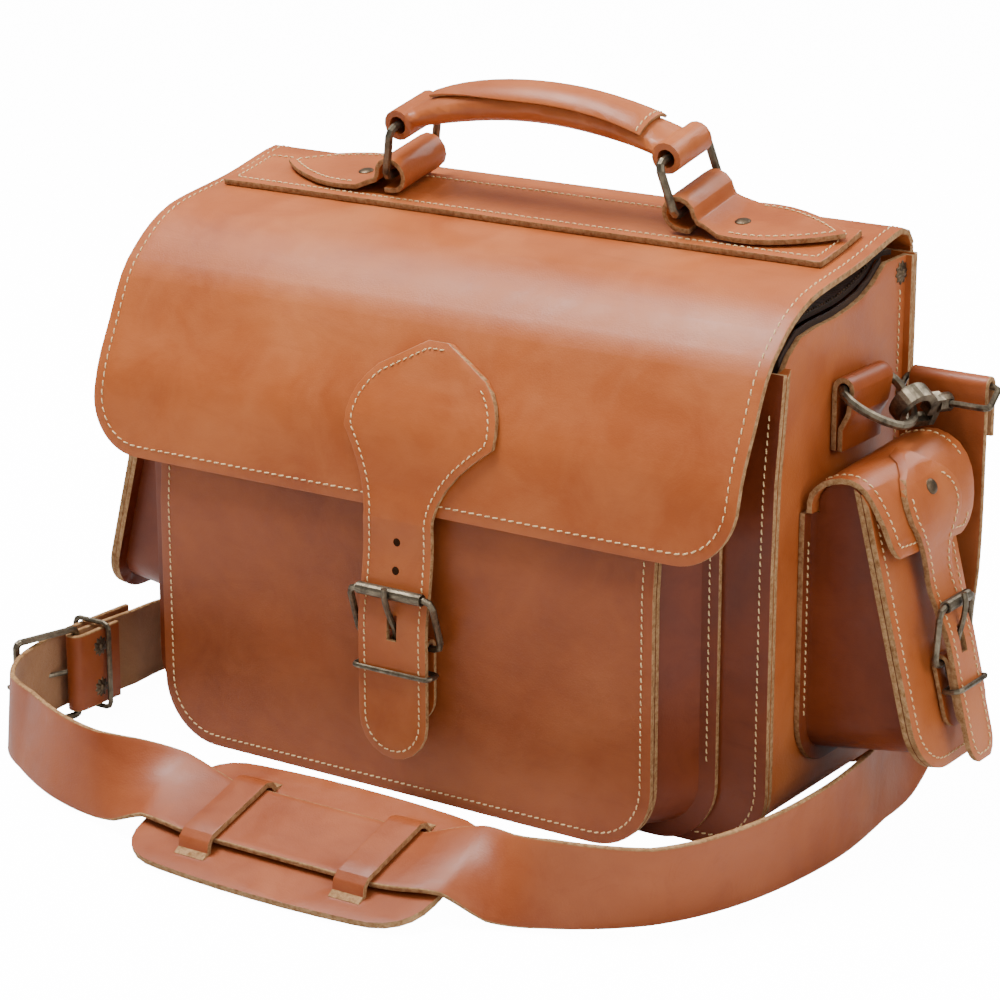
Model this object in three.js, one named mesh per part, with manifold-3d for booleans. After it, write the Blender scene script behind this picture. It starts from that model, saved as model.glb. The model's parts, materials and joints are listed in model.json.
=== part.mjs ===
// A leather camera bag: box body with a full-width front flap, zip-round inner lid, front pocket,
// two side pockets, a top handle on two rings and a clip-on shoulder strap with a sliding pad.
// Units are millimetres. +Z is up, -Y is the front, +X is the bag's right side seen from the front.
// The origin is on the ground under the middle of the bag without its shoulder strap.

import * as THREE from 'three';
import { mergeVertices } from 'three/addons/utils/BufferGeometryUtils.js';
import Module from 'manifold-3d';

// ---- Driving dimensions --------------------------------------------------------------------

const LEATHER = 3;            // panels and flap
const GUSSET_LEATHER = 2.6;   // gussets, chapes and straps
const TAB_LEATHER = 2.2;      // folded buckle tabs
const GAP = 0.3;              // clearance between pieces that touch

const PANEL_HALF = 169;       // body panels, with their turned-out seam edges
const BODY_HALF = 166;        // outer face of the body's side walls
const FLAP_HALF = 175;
const FLAP_X = -9;            // the flap and the front pocket sit a little to the left
const FRONT_Y = -42.5;        // front face of the body's front panel
const BACK_Y = 84.5;          // rear face of the back panel
const POCKET_Y = -68.5;       // front face of the front pocket
const POCKET_HALF = 135.5;    // front pocket panel, with its seam edges
const POCKET_BACK_HALF = 154.5;  // the front pocket's gusset, where it is sewn to the body
const CORNER = 30;            // radius of the panels' bottom corners
const BACK_TOP = 247;
const FRONT_TOP = 216;
const POCKET_TOP = 165;
const FLAP_LOW = 137;         // lower edge of the closed flap

const HANDLE_X = 0.5;         // middle of the handle
const HANDLE_Y = 46.5;
const HANDLE_Z = 253.7;       // flap surface under the handle
const HANDLE_TILT = THREE.MathUtils.degToRad(11.9);
const CLOSURE_X = -2;         // middle of the front buckle strap
const FRONT_CHAPE_Z = 76;     // front buckle's hinge bar

const SIDE_Y = 21.5;          // middle of the side pockets
const SIDE_HALF = 35;         // side pocket's half width over its seams
const SIDE_TOP = 150;
const SIDE_SLOPE = 0.257;     // how much the outer panel leans in for each millimetre up
const SIDE_FOOT = 60;         // how far the outer panel's foot stands out from the body
const SIDE_RISE = 0.15;       // rise of the pocket's floor for each millimetre outwards
const RING_Y = 8.5;           // the strap rings sit this far behind the side pockets' middle
const RING_Z = 200;

const STRAP = 38.5;           // shoulder strap's width
const STRAP_LEATHER = 2.6;

const TAN = 0xb5622f;
const TAN_DARK = 0x96491f;
const TAN_LIGHT = 0xc07a4a;
const BRONZE = 0x6b5a41;
const TAPE = 0x33231a;
const LINING = 0x8a7a66;

// ---- Solids --------------------------------------------------------------------------------

const wasm = await Module();
wasm.setup();

function indexed(geometry) {
  const bare = geometry.clone();
  bare.deleteAttribute('normal');
  bare.deleteAttribute('uv');
  return mergeVertices(bare, 1e-4);
}

function toSolid(geometry) {
  const merged = indexed(geometry);
  return new wasm.Manifold(new wasm.Mesh({
    numProp: 3,
    vertProperties: new Float32Array(merged.attributes.position.array),
    triVerts: new Uint32Array(merged.index.array),
  }));
}

function toGeometry(solid) {
  const mesh = solid.getMesh();
  const geometry = new THREE.BufferGeometry();
  geometry.setAttribute('position', new THREE.BufferAttribute(mesh.vertProperties, 3));
  geometry.setIndex(new THREE.BufferAttribute(mesh.triVerts, 1));
  geometry.computeVertexNormals();
  return geometry;
}

function joined(...pieces) {
  return toGeometry(pieces.map(toSolid).reduce((a, b) => a.add(b)));
}

function cut(piece, ...tools) {
  return toGeometry(tools.map(toSolid).reduce((a, b) => a.subtract(b), toSolid(piece)));
}

function common(...pieces) {
  return toGeometry(pieces.map(toSolid).reduce((a, b) => a.intersect(b)));
}

function polygon(points) {
  return new THREE.Shape(points.map(([a, b]) => new THREE.Vector2(a, b)));
}

// Extrudes a shape drawn in the plane across an axis: (y, z) for 'x', (x, z) for 'y', (x, y) for 'z'.
function prism(shape, axis, low, high, curveSegments = 5) {
  const options = { depth: high - low, bevelEnabled: false, curveSegments };
  const geometry = new THREE.ExtrudeGeometry(shape, options);
  const x = new THREE.Vector3(1, 0, 0);
  const y = new THREE.Vector3(0, 1, 0);
  const z = new THREE.Vector3(0, 0, 1);
  const turn = new THREE.Matrix4();
  if (axis === 'x') {
    turn.makeBasis(y, z, x).setPosition(low, 0, 0);
  } else if (axis === 'y') {
    turn.makeBasis(x, z, y.negate()).setPosition(0, high, 0);
  } else {
    turn.setPosition(0, 0, low);
  }
  return geometry.applyMatrix4(turn);
}

function block(x0, x1, y0, y1, z0, z1) {
  const geometry = new THREE.BoxGeometry(x1 - x0, y1 - y0, z1 - z0);
  return geometry.translate((x0 + x1) / 2, (y0 + y1) / 2, (z0 + z1) / 2);
}

// A ring of points drawn in its own plane.
function flattened(ring) {
  const normal = new THREE.Vector3();
  ring.forEach((point, i) => normal.add(point.clone().cross(ring[(i + 1) % ring.length])));
  const across = ring[1].clone().sub(ring[0]).normalize();
  const up = normal.normalize().clone().cross(across);
  return ring.map((point) => new THREE.Vector2(point.dot(across), point.dot(up)));
}

// A closed body through rings of points; the last ring joins the first when the body is a loop.
function loft(rings, isLoop = false) {
  const sides = rings[0].length;
  const positions = rings.flat().flatMap((p) => [p.x, p.y, p.z]);
  const index = [];
  const spans = isLoop ? rings.length : rings.length - 1;
  for (let i = 0; i < spans; i += 1) {
    const here = i * sides;
    const next = ((i + 1) % rings.length) * sides;
    for (let j = 0; j < sides; j += 1) {
      const k = (j + 1) % sides;
      index.push(here + j, here + k, next + k, here + j, next + k, next + j);
    }
  }
  if (!isLoop) {
    const last = (rings.length - 1) * sides;
    const capOf = (ring) => THREE.ShapeUtils.triangulateShape(flattened(ring), []);
    capOf(rings[0]).forEach(([a, b, c]) => index.push(a, c, b));
    capOf(rings[rings.length - 1]).forEach(([a, b, c]) => index.push(last + a, last + b, last + c));
  }
  const geometry = new THREE.BufferGeometry();
  geometry.setAttribute('position', new THREE.Float32BufferAttribute(positions, 3));
  geometry.setIndex(index);
  return facingOut(geometry);
}

function facingOut(geometry) {
  const p = geometry.attributes.position;
  const index = geometry.index.array;
  const [a, b, c] = [new THREE.Vector3(), new THREE.Vector3(), new THREE.Vector3()];
  let volume = 0;
  for (let i = 0; i < index.length; i += 3) {
    a.fromBufferAttribute(p, index[i]);
    b.fromBufferAttribute(p, index[i + 1]);
    c.fromBufferAttribute(p, index[i + 2]);
    volume += a.dot(b.cross(c));
  }
  return volume < 0 ? flipped(geometry) : withNormals(geometry);
}

function flipped(geometry) {
  const index = geometry.index.array;
  for (let i = 0; i < index.length; i += 3) {
    [index[i + 1], index[i + 2]] = [index[i + 2], index[i + 1]];
  }
  return withNormals(geometry);
}

function withNormals(geometry) {
  geometry.computeVertexNormals();
  return geometry;
}

function mirroredLeft(geometry) {
  return flipped(indexed(geometry).scale(-1, 1, 1));
}

// A round wire along a list of points.
function wire(points, radius, isLoop = false, steps = 28, sides = 8) {
  const curve = new THREE.CatmullRomCurve3(points.map((p) => new THREE.Vector3(...p)), isLoop, 'centripetal');
  const frames = curve.computeFrenetFrames(steps, isLoop);
  const count = isLoop ? steps : steps + 1;
  const rings = [];
  for (let i = 0; i < count; i += 1) {
    const centre = curve.getPointAt(i / steps);
    const ring = [];
    for (let j = 0; j < sides; j += 1) {
      const angle = (2 * Math.PI * j) / sides;
      const out = frames.normals[i].clone().multiplyScalar(radius * Math.cos(angle));
      out.addScaledVector(frames.binormals[i], radius * Math.sin(angle));
      ring.push(centre.clone().add(out));
    }
    rings.push(ring);
  }
  return loft(rings, isLoop);
}

// A rectangle of wire with round corners, in the plane of two unit directions.
function wireRectangle(centre, across, along, halfAcross, halfAlong, corner, radius) {
  const points = [];
  const cornerSteps = 2;
  [[1, 1], [-1, 1], [-1, -1], [1, -1]].forEach(([a, b], quarter) => {
    for (let k = 0; k <= cornerSteps; k += 1) {
      const angle = ((quarter + k / cornerSteps) * Math.PI) / 2;
      const u = a * (halfAcross - corner) + corner * Math.cos(angle);
      const v = b * (halfAlong - corner) + corner * Math.sin(angle);
      points.push(centre.clone().addScaledVector(across, u).addScaledVector(along, v));
    }
  });
  const sides = 8;
  const normal = across.clone().cross(along);
  const rings = points.map((here, i) => {
    const before = points[(i + points.length - 1) % points.length];
    const after = points[(i + 1) % points.length];
    const tangentIn = here.clone().sub(before).normalize();
    const tangentOut = after.clone().sub(here).normalize();
    const outward = tangentIn.add(tangentOut).normalize().cross(normal).normalize();
    if (outward.dot(here.clone().sub(centre)) < 0) {
      outward.negate();
    }
    return Array.from({ length: sides }, (_, j) => {
      const angle = (2 * Math.PI * j) / sides;
      return here.clone()
        .addScaledVector(outward, radius * Math.cos(angle))
        .addScaledVector(normal, radius * Math.sin(angle));
    });
  });
  return loft(rings, true);
}

function rod(from, to, radius, sides = 12) {
  const start = new THREE.Vector3(...from);
  const way = new THREE.Vector3(...to).sub(start);
  const geometry = new THREE.CylinderGeometry(radius, radius, way.length(), sides);
  const turn = new THREE.Quaternion().setFromUnitVectors(new THREE.Vector3(0, 1, 0), way.clone().normalize());
  geometry.applyQuaternion(turn);
  const middle = start.addScaledVector(way, 0.5);
  return geometry.translate(middle.x, middle.y, middle.z);
}

// A hollow round sleeve about the X axis.
function sleeve(halfLength, inner, outer, sides = 14) {
  const profile = [[inner, -halfLength], [outer, -halfLength], [outer, halfLength], [inner, halfLength]];
  profile.push(profile[0]);
  const lathe = new THREE.LatheGeometry(profile.map(([r, h]) => new THREE.Vector2(r, h)), sides);
  return toGeometry(toSolid(lathe.rotateZ(Math.PI / 2)));
}

// ---- Sheets of leather ---------------------------------------------------------------------

function smooth(points, steps) {
  const curve = new THREE.SplineCurve(points.map(([a, b]) => new THREE.Vector2(a, b)));
  return curve.getSpacedPoints(steps).map((p) => [p.x, p.y]);
}

// Moves a line of points sideways, to its left for a positive distance.
function offset(points, distance) {
  return points.map(([a, b], i) => {
    const [pa, pb] = points[Math.max(i - 1, 0)];
    const [na, nb] = points[Math.min(i + 1, points.length - 1)];
    const length = Math.hypot(na - pa, nb - pb);
    return [a - (distance * (nb - pb)) / length, b + (distance * (na - pa)) / length];
  });
}

// A bent sheet: the (y, z) line of its middle, its thickness, and its reach along X.
function sheet(middle, thickness, x0, x1) {
  const outline = [...offset(middle, thickness / 2), ...offset(middle, -thickness / 2).reverse()];
  return prism(polygon(outline), 'x', x0, x1);
}

// Outline of a panel in (x, z) with straight sides and round bottom corners.
function panelShape(half, bottom, top, radius) {
  const shape = new THREE.Shape();
  shape.moveTo(-half, top);
  shape.lineTo(-half, bottom + radius);
  shape.absarc(-half + radius, bottom + radius, radius, Math.PI, 1.5 * Math.PI, false);
  shape.lineTo(half - radius, bottom);
  shape.absarc(half - radius, bottom + radius, radius, 1.5 * Math.PI, 2 * Math.PI, false);
  shape.lineTo(half, top);
  shape.closePath();
  return shape;
}

// Widens a piece evenly from front to back.
function flared(geometry, front, back, ratio) {
  const position = geometry.attributes.position;
  for (let i = 0; i < position.count; i += 1) {
    const along = (position.getY(i) - front) / (back - front);
    position.setX(i, position.getX(i) * (1 + (ratio - 1) * along));
  }
  return geometry;
}

// A U-shaped strip between a front panel and a flat back, with seam edges turned outwards.
// The front panel is given as the (y, z) line of its middle, from its bottom to its top.
function gusset(panelLine, half, backHalf, back, seam, corner) {
  const line = offset(panelLine, -(LEATHER + GUSSET_LEATHER) / 2 - GAP);
  const front = line[0][0];
  const top = line[line.length - 1][1];
  const wall = half - seam;
  const ratio = (backHalf - seam) / wall;
  const thick = GUSSET_LEATHER;
  const outer = panelShape(wall, seam, top + 20, corner - seam);
  const inner = panelShape(wall - thick, seam + thick, top + 21, corner - seam - thick);
  const side = polygon([...line, [back, top], [back, -1]]);
  const web = common(flared(prism(outer, 'y', front, back), front, back, ratio), prism(side, 'x', -200, 200));
  const frontSeam = common(
    sheet(line, thick, -half, half),
    prism(panelShape(half, 0, top, corner), 'y', front - 20, back),
  );
  const backSeam = prism(panelShape(backHalf, 0, top, corner), 'y', back - thick, back);
  const channel = flared(prism(inner, 'y', front - 20, back + 20), front, back, ratio);
  return cut(joined(web, frontSeam, backSeam), channel);
}

// Outline of a strap that widens to a pointed shield above, in (x, z).
function shieldStrapShape(half, tip, neck, shield) {
  const shape = new THREE.Shape();
  const level = (part) => neck + shield.height * part;
  const right = shield.x + shield.half;
  const left = shield.x - shield.half;
  shape.moveTo(-half, tip + half);
  shape.absarc(0, tip + half, half, Math.PI, 2 * Math.PI, false);
  shape.lineTo(half, neck);
  shape.quadraticCurveTo(half + 2, level(0.22), right, level(0.45));
  shape.quadraticCurveTo(right + 2, level(0.66), shield.x + shield.half * 0.72, level(0.8));
  shape.lineTo(shield.x, level(1));
  shape.lineTo(shield.x - shield.half * 0.72, level(0.8));
  shape.quadraticCurveTo(left - 2, level(0.66), left, level(0.45));
  shape.quadraticCurveTo(-half - 2, level(0.22), -half, neck);
  shape.closePath();
  return shape;
}

// ---- Body ----------------------------------------------------------------------------------

// Middle lines of the front panel and the pocket panel, in (y, z).
const FRONT_LINE = [[FRONT_Y + 1.5, 0], [FRONT_Y + 1.5, 130], [-39.6, 170], [-34, FRONT_TOP]];
const POCKET_LINE = [[POCKET_Y + 1.5, 0], [POCKET_Y + 1.5, 118], [-65, 140], [-60, POCKET_TOP]];

const GUSSET_TOP = [[90, 246.5], [60, 246], [49, 238.8], [39, 234.5], [28, 232.2], [15, 230.5],
  [-3, 229.7], [-16, 228], [-26, 221.5], [-32, 214.6], [-60, 214.6]];

function panelOn(line, half, top) {
  const bottom = [line[0][0], -1];
  return common(
    sheet([bottom, ...line], LEATHER, -half, half),
    prism(panelShape(half, 0, top + 5, CORNER), 'y', -90, 0),
  );
}

function bodyPanels() {
  const back = prism(panelShape(PANEL_HALF, 0, BACK_TOP, CORNER), 'y', BACK_Y - LEATHER, BACK_Y);
  return { back_panel: back, front_panel: panelOn(FRONT_LINE, PANEL_HALF, FRONT_TOP) };
}

function mainGusset() {
  const back = BACK_Y - LEATHER - GAP;
  const seam = PANEL_HALF - BODY_HALF;
  const line = [...FRONT_LINE, [-30, BACK_TOP]];
  const strip = gusset(line, PANEL_HALF, PANEL_HALF, back, seam, CORNER);
  return common(strip, prism(polygon([...GUSSET_TOP, [-60, -1], [90, -1]]), 'x', -200, 200));
}

function frontPocket() {
  const strip = gusset(POCKET_LINE, POCKET_HALF, POCKET_BACK_HALF, FRONT_Y - GAP, 6, CORNER);
  return {
    pocket_panel: panelOn(POCKET_LINE, POCKET_HALF, POCKET_TOP).translate(FLAP_X, 0, 0),
    pocket_gusset: strip.translate(FLAP_X, 0, 0),
  };
}

// Cloth zip tape standing inside the top edges of the side walls and the front panel.
function zipTape() {
  const top = GUSSET_TOP.slice(1, 9).map(([y, z]) => [y, z + 2.4]);
  const bottom = GUSSET_TOP.slice(1, 9).map(([y, z]) => [y, z - 12]).reverse();
  const band = polygon([...top, [-31, 219.6], [-31, 205], ...bottom]);
  const half = BODY_HALF - GUSSET_LEATHER - GAP;
  const outer = block(-half, half, -29.6, 60, 190, 260);
  const inner = block(-half + 1, half - 1, -28.6, 61, 189, 261);
  return common(prism(band, 'x', -half, half), cut(outer, inner));
}

function zipLid() {
  const line = [[76, 247.3], [62, 248.2], [55, 243.6], [44, 239.2], [24.5, 235], [-12, 232.4], [-23, 226.8], [-27.2, 219]];
  const half = BODY_HALF - 6;
  return sheet(smooth(line, 14), 2, -half, half);
}

function zipSlider() {
  const x = 141;
  const body = block(x - 5.5, x + 5.5, -33.5, -30.2, 216.4, 221);
  const arm = block(x - 2.5, x + 2.5, -39.3, -33, 216.4, 217.9);
  const pull = block(x - 4, x + 4, -39.3, -38.1, 200, 217.9);
  return joined(body, arm, pull);
}

function insert() {
  const wall = 6;
  const half = 151;
  const tray = cut(
    block(-half, half, -32, 76, 12, 190),
    block(-half + wall, half - wall, -32 + wall, 76 - wall, 12 + wall, 191),
  );
  const divider = block(18, 23, -32 + wall + 0.5, 76 - wall - 0.5, 12 + wall + 0.5, 182);
  return { insert_tray: tray, insert_divider: divider };
}

// ---- Flap ----------------------------------------------------------------------------------

// The flap's outer surface, from its hinge line at the back to its lower edge, in (y, z).
const FLAP_LINE = smooth([[86.4, 250.9], [82.5, 256.6], [72.3, 259.1], [36.5, 251.3], [-3.5, 245], [-20, 238.8],
  [-32, 230.6], [-44.4, 218], [-55, 196.7], [-65.8, 172.4], [-72.5, FLAP_LOW]], 30);

function flapLeather() {
  const line = offset(FLAP_LINE, LEATHER / 2);
  return common(
    sheet(line, LEATHER, -FLAP_HALF, FLAP_HALF),
    prism(panelShape(FLAP_HALF, FLAP_LOW, 300, 28), 'y', -90, 100, 6),
  ).translate(FLAP_X, 0, 0);
}

function flapSewnEdge() {
  return block(-PANEL_HALF + 4, PANEL_HALF - 4, BACK_Y + GAP, BACK_Y + GAP + LEATHER, 235, 245);
}

function flapLineBetween(zHigh, zLow, distance) {
  return offset(FLAP_LINE, -distance).filter(([y, z]) => y < 0 && z < zHigh && z > zLow);
}

function frontStrap() {
  const high = flapLineBetween(216, FLAP_LOW + 3, GAP + GUSSET_LEATHER / 2);
  const low = closureLine(FRONT_CHAPE_Z, 22).map(([y, z]) => [y + POCKET_Y, z + FRONT_CHAPE_Z]);
  const line = smooth([...high, ...low], 26);
  const shield = { x: 6, half: 40, height: 78 };
  const outline = prism(shieldStrapShape(18.5, 22, FLAP_LOW - 1, shield), 'y', -100, -30);
  const strip = common(sheet(line, GUSSET_LEATHER, -50, 50), outline);
  return cut(strip, prongHole().translate(0, POCKET_Y, FRONT_CHAPE_Z)).translate(CLOSURE_X, 0, 0);
}

// ---- Buckle closures -----------------------------------------------------------------------
// Each is drawn about its hinge bar: y = 0 is the pocket's face, -Y is outwards, z = 0 the bar.

const BAR_Y = -5.3;
const ROLLER = { y: -13.4, z: 25, radius: 2.8 };

// Middle line of the strap from below the flap to its tip, as (y, z).
function closureLine(barHeight, tip) {
  return [[-6.6, 58], [-6.4, 46], [-7.4, 36], [-8.9, 25], [-10.9, 14], [-11.5, 5], [-11.3, -8], [-11.3, -30], [-11.3, tip - barHeight - 1]];
}

function prongHole() {
  return block(-2.6, 2.6, -16, -6, 2.5, 14.5);
}

function buckleTab(half, low) {
  const bend = TAB_LEATHER + 2.2 - TAB_LEATHER / 2;
  const line = [[BAR_Y + bend, low], [BAR_Y + bend, -10]];
  for (let i = 0; i <= 6; i += 1) {
    const angle = (Math.PI * i) / 6;
    line.push([BAR_Y + bend * Math.cos(angle), bend * Math.sin(angle)]);
  }
  line.push([BAR_Y - bend, -10], [BAR_Y - bend, low]);
  const strip = sheet(line, TAB_LEATHER, -half, half);
  const outline = prism(panelShape(half, low, 10, half * 0.8), 'y', -20, 5);
  return cut(common(strip, outline), block(-2.9, 2.9, -20, 0.5, -7, 10));
}

function buckleFrame(half) {
  const along = new THREE.Vector3(0, ROLLER.y - BAR_Y, ROLLER.z);
  const middle = new THREE.Vector3(0, (ROLLER.y + BAR_Y) / 2, ROLLER.z / 2);
  const length = along.length();
  return wireRectangle(middle, new THREE.Vector3(1, 0, 0), along.normalize(), half, length / 2, 4, 1.6);
}

function buckleRoller(half) {
  return sleeve(half, 1.9, ROLLER.radius).translate(0, ROLLER.y, ROLLER.z);
}

function buckleProng() {
  const eye = sleeve(1.7, 1.85, 4.1, 10).translate(0, BAR_Y, 0);
  const arm = wire([[0, BAR_Y - 2.6, 2.2], [0, -10.5, 8.5], [0, -14.6, 16], [0, -17.7, 24], [0, -17.9, 28.5]], 1.4, false, 8);
  return joined(eye, arm);
}

function buckleKeeper(half) {
  const middle = new THREE.Vector3(0, (BAR_Y - 14.2) / 2, -12);
  return wireRectangle(middle, new THREE.Vector3(1, 0, 0), new THREE.Vector3(0, 1, 0), half, (14.2 + BAR_Y) / 2, 2.6, 1.2);
}

function frontClosure() {
  const place = (geometry) => geometry.translate(CLOSURE_X, POCKET_Y, FRONT_CHAPE_Z);
  return {
    front_tab: place(buckleTab(16.5, -38)),
    front_buckle_frame: place(buckleFrame(22.5)),
    front_buckle_roller: place(buckleRoller(17.5)),
    front_buckle_prong: place(buckleProng()),
    front_keeper: place(buckleKeeper(20.6)),
  };
}

// ---- Handle --------------------------------------------------------------------------------
// Drawn about the flap's surface: z = 0 is the leather, Y runs along the slope.

const LOWER_PIN = { x: 79, z: 13.4 };
const UPPER_PIN = { x: 73, z: 38 };

function onFlap(geometry) {
  return geometry.rotateX(HANDLE_TILT).translate(HANDLE_X, HANDLE_Y, HANDLE_Z);
}

// The rectangular patch under the handle follows the flap.
function handlePlate() {
  const line = offset(FLAP_LINE, -GAP - LEATHER / 2).filter(([y]) => y > 15 && y < 66);
  return sheet(line, LEATHER, -174, 154);
}

function handleTab() {
  const bend = 7.6;
  const { x, z } = LOWER_PIN;
  const flat = z - bend;
  const line = [[153, flat], [122, flat], [99, flat + 0.4], [x + bend + 1.6, flat + 4.6]];
  for (let i = 0; i <= 10; i += 1) {
    const angle = (Math.PI * 3 * i) / 20;
    line.push([x + bend * Math.cos(angle), z + bend * Math.sin(angle)]);
  }
  line.push([x + 4.5, flat]);
  const strip = sheet(line, GUSSET_LEATHER, -21, 21).rotateZ(-Math.PI / 2);
  const petal = new THREE.Shape();
  petal.moveTo(60, -17.5);
  petal.lineTo(92, -17.5);
  petal.quadraticCurveTo(112, -24, 132, -14);
  petal.quadraticCurveTo(145, -8, 153, 0);
  petal.quadraticCurveTo(145, 8, 132, 14);
  petal.quadraticCurveTo(112, 24, 92, 17.5);
  petal.lineTo(60, 17.5);
  petal.closePath();
  return common(strip, prism(petal, 'z', 0, 40));
}

function handleRing() {
  const lean = new THREE.Vector3(UPPER_PIN.x - LOWER_PIN.x, 0, UPPER_PIN.z - LOWER_PIN.z);
  const half = lean.length() / 2;
  const middle = new THREE.Vector3((UPPER_PIN.x + LOWER_PIN.x) / 2, 0, (UPPER_PIN.z + LOWER_PIN.z) / 2);
  return wireRectangle(middle, new THREE.Vector3(0, 1, 0), lean.normalize(), 20.5, half, 3.5, 2);
}

const GRIP_RISE = 13;
const GRIP_REACH = UPPER_PIN.x - 4;  // half length of the grip between its end loops

// Height of the grip's middle line at a distance from its centre.
function gripHeight(x) {
  return UPPER_PIN.z + GRIP_RISE * (1 - (x / UPPER_PIN.x) ** 2);
}

// The grip's half width, half thickness and slope at a place along it.
function gripSection(x) {
  const end = Math.abs(x) / GRIP_REACH;
  return {
    halfY: 11 + 2.5 * end ** 4,
    halfZ: 8 - 3 * end ** 4,
    slope: Math.atan((-2 * GRIP_RISE * x) / UPPER_PIN.x ** 2),
  };
}

function handleGrip() {
  const rings = [];
  const reach = GRIP_REACH;
  const steps = 16;
  for (let i = 0; i <= steps; i += 1) {
    const x = -reach + (2 * reach * i) / steps;
    const { halfY, halfZ, slope } = gripSection(x);
    const ring = [];
    for (let j = 0; j < 12; j += 1) {
      const angle = (2 * Math.PI * j) / 12;
      const up = halfZ * Math.sin(angle);
      ring.push(new THREE.Vector3(
        x - up * Math.sin(slope),
        halfY * Math.cos(angle),
        gripHeight(x) + up * Math.cos(slope),
      ));
    }
    rings.push(ring);
  }
  const arch = loft(rings);
  const ends = [-1, 1].map((side) => rod(
    [side * UPPER_PIN.x, -14, UPPER_PIN.z], [side * UPPER_PIN.x, 14, UPPER_PIN.z], 7.4, 16));
  const bores = [-1, 1].map((side) => rod(
    [side * UPPER_PIN.x, -15, UPPER_PIN.z], [side * UPPER_PIN.x, 15, UPPER_PIN.z], 4.4, 12));
  return cut(joined(arch, ...ends), ...bores);
}

// The strip laid over the grip: it hugs the grip's round top and runs to a point at its left end.
function handleStrip() {
  const steps = 15;
  const arc = 8;
  const length = 116;
  const leather = 1.8;
  const fit = 0.5;
  const rings = [];
  for (let i = 0; i <= steps; i += 1) {
    const x = length * (i / steps - 0.5);
    const { halfY, halfZ, slope } = gripSection(x);
    const taper = 0.28 + 0.72 * Math.sin((Math.PI / 2) * Math.min(1, (x + length / 2) / 55));
    const place = (distance, share) => {
      const angle = Math.PI / 2 + (2 * share - 1) * THREE.MathUtils.degToRad(60) * taper;
      const up = (halfZ + distance) * Math.sin(angle);
      return new THREE.Vector3(
        x - up * Math.sin(slope), (halfY + distance) * Math.cos(angle), gripHeight(x) + up * Math.cos(slope));
    };
    const shares = Array.from({ length: arc + 1 }, (_, j) => j / arc);
    const outer = shares.map((share) => place(fit + leather, share));
    const inner = shares.map((share) => place(fit, share)).reverse();
    rings.push([...outer, ...inner]);
  }
  return loft(rings);
}

function handle() {
  const tab = handleTab();
  const ring = handleRing();
  return {
    handle_plate: handlePlate(),
    handle_tab_right: onFlap(tab.clone()),
    handle_tab_left: onFlap(mirroredLeft(tab)),
    handle_ring_right: onFlap(ring.clone()),
    handle_ring_left: onFlap(mirroredLeft(ring)),
    handle_grip: onFlap(handleGrip()),
    handle_strip: onFlap(handleStrip()),
  };
}

// ---- Side pockets --------------------------------------------------------------------------
// Drawn facing the front, with y = 0 on the body's side wall, then turned to face +X.

const SIDE_TILT = -Math.atan(SIDE_SLOPE);
const SIDE_CHAPE_Z = 84;

function onRightSide(geometry) {
  return geometry.rotateZ(Math.PI / 2).translate(BODY_HALF, SIDE_Y, 0);
}

// Outer face of the side pocket's panel at a height.
function sidePanelFace(z) {
  return -SIDE_FOOT - 2 + (z - 47) * SIDE_SLOPE;
}

// A prism whose far end stands higher, so that the pocket's floor rises outwards.
function risingPrism(shape, near, far) {
  const shear = new THREE.Matrix4().set(1, 0, 0, 0, 0, 1, 0, 0, 0, -SIDE_RISE, 1, 0, 0, 0, 0, 1);
  return prism(shape, 'y', far, near).applyMatrix4(shear);
}

// The space between two planes parallel to the outer panel's face.
function sideSlab(inside0, inside1) {
  const top = SIDE_TOP + 40;
  const outline = [[0, inside0], [top, inside0], [top, inside1], [0, inside1]];
  return prism(polygon(outline.map(([z, inside]) => [sidePanelFace(z) + inside, z])), 'x', -60, 60);
}

function sidePocket() {
  const low = 30.5;
  const tall = SIDE_TOP + 30;
  const wall = SIDE_HALF - 6;
  const seam = panelShape(SIDE_HALF, low, tall, 24);
  const outer = panelShape(wall, low + 6, tall, 18);
  const inner = panelShape(wall - GUSSET_LEATHER, low + 6 + GUSSET_LEATHER, tall + 1, 18 - GUSSET_LEATHER);
  const web = common(risingPrism(outer, -GAP, -80), sideSlab(3.1, 80));
  const backSeam = common(risingPrism(seam, -GAP, -GAP - GUSSET_LEATHER), sideSlab(3.1, 80));
  const frontSeam = common(risingPrism(seam, -4, -80), sideSlab(3.1, 5.7));
  const strip = cut(joined(web, backSeam, frontSeam), risingPrism(inner, 2, -82));
  const panel = common(risingPrism(seam, -4, -80), sideSlab(0, 2.8));
  return { side_gusset: common(strip, underSideFlap()), side_panel: common(panel, underSideFlap()) };
}

// Side flap's outer surface in (y, z), from its root on the body to its lower edge. It rises and
// bulges from the bag's front edge (first list) to its back edge (second list).
const SIDE_FLAP_ENDS = [
  [[-3.4, 150.5], [-3.8, 158], [-9, 164.5], [-17, 168.2], [-25, 168.6], [-31.5, 165.4], [-37, 158.5],
    [-43, 148], [-47.5, 137]],
  [[-3.4, 150.5], [-3.8, 159], [-9, 168], [-19, 174.5], [-30, 176.5], [-41, 172], [-47.5, 161.5],
    [-49, 146], [-46, 132]],
].map((points) => smooth(points, 16));

// The line a distance outside the flap's outer surface, at a place from -1 (front) to 1 (back).
function sideFlapLine(place, distance) {
  const [front, back] = SIDE_FLAP_ENDS.map((line) => offset(line, -distance));
  const share = (place + 1) / 2;
  return front.map(([y, z], i) => [y + (back[i][0] - y) * share, z + (back[i][1] - z) * share]);
}

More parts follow.
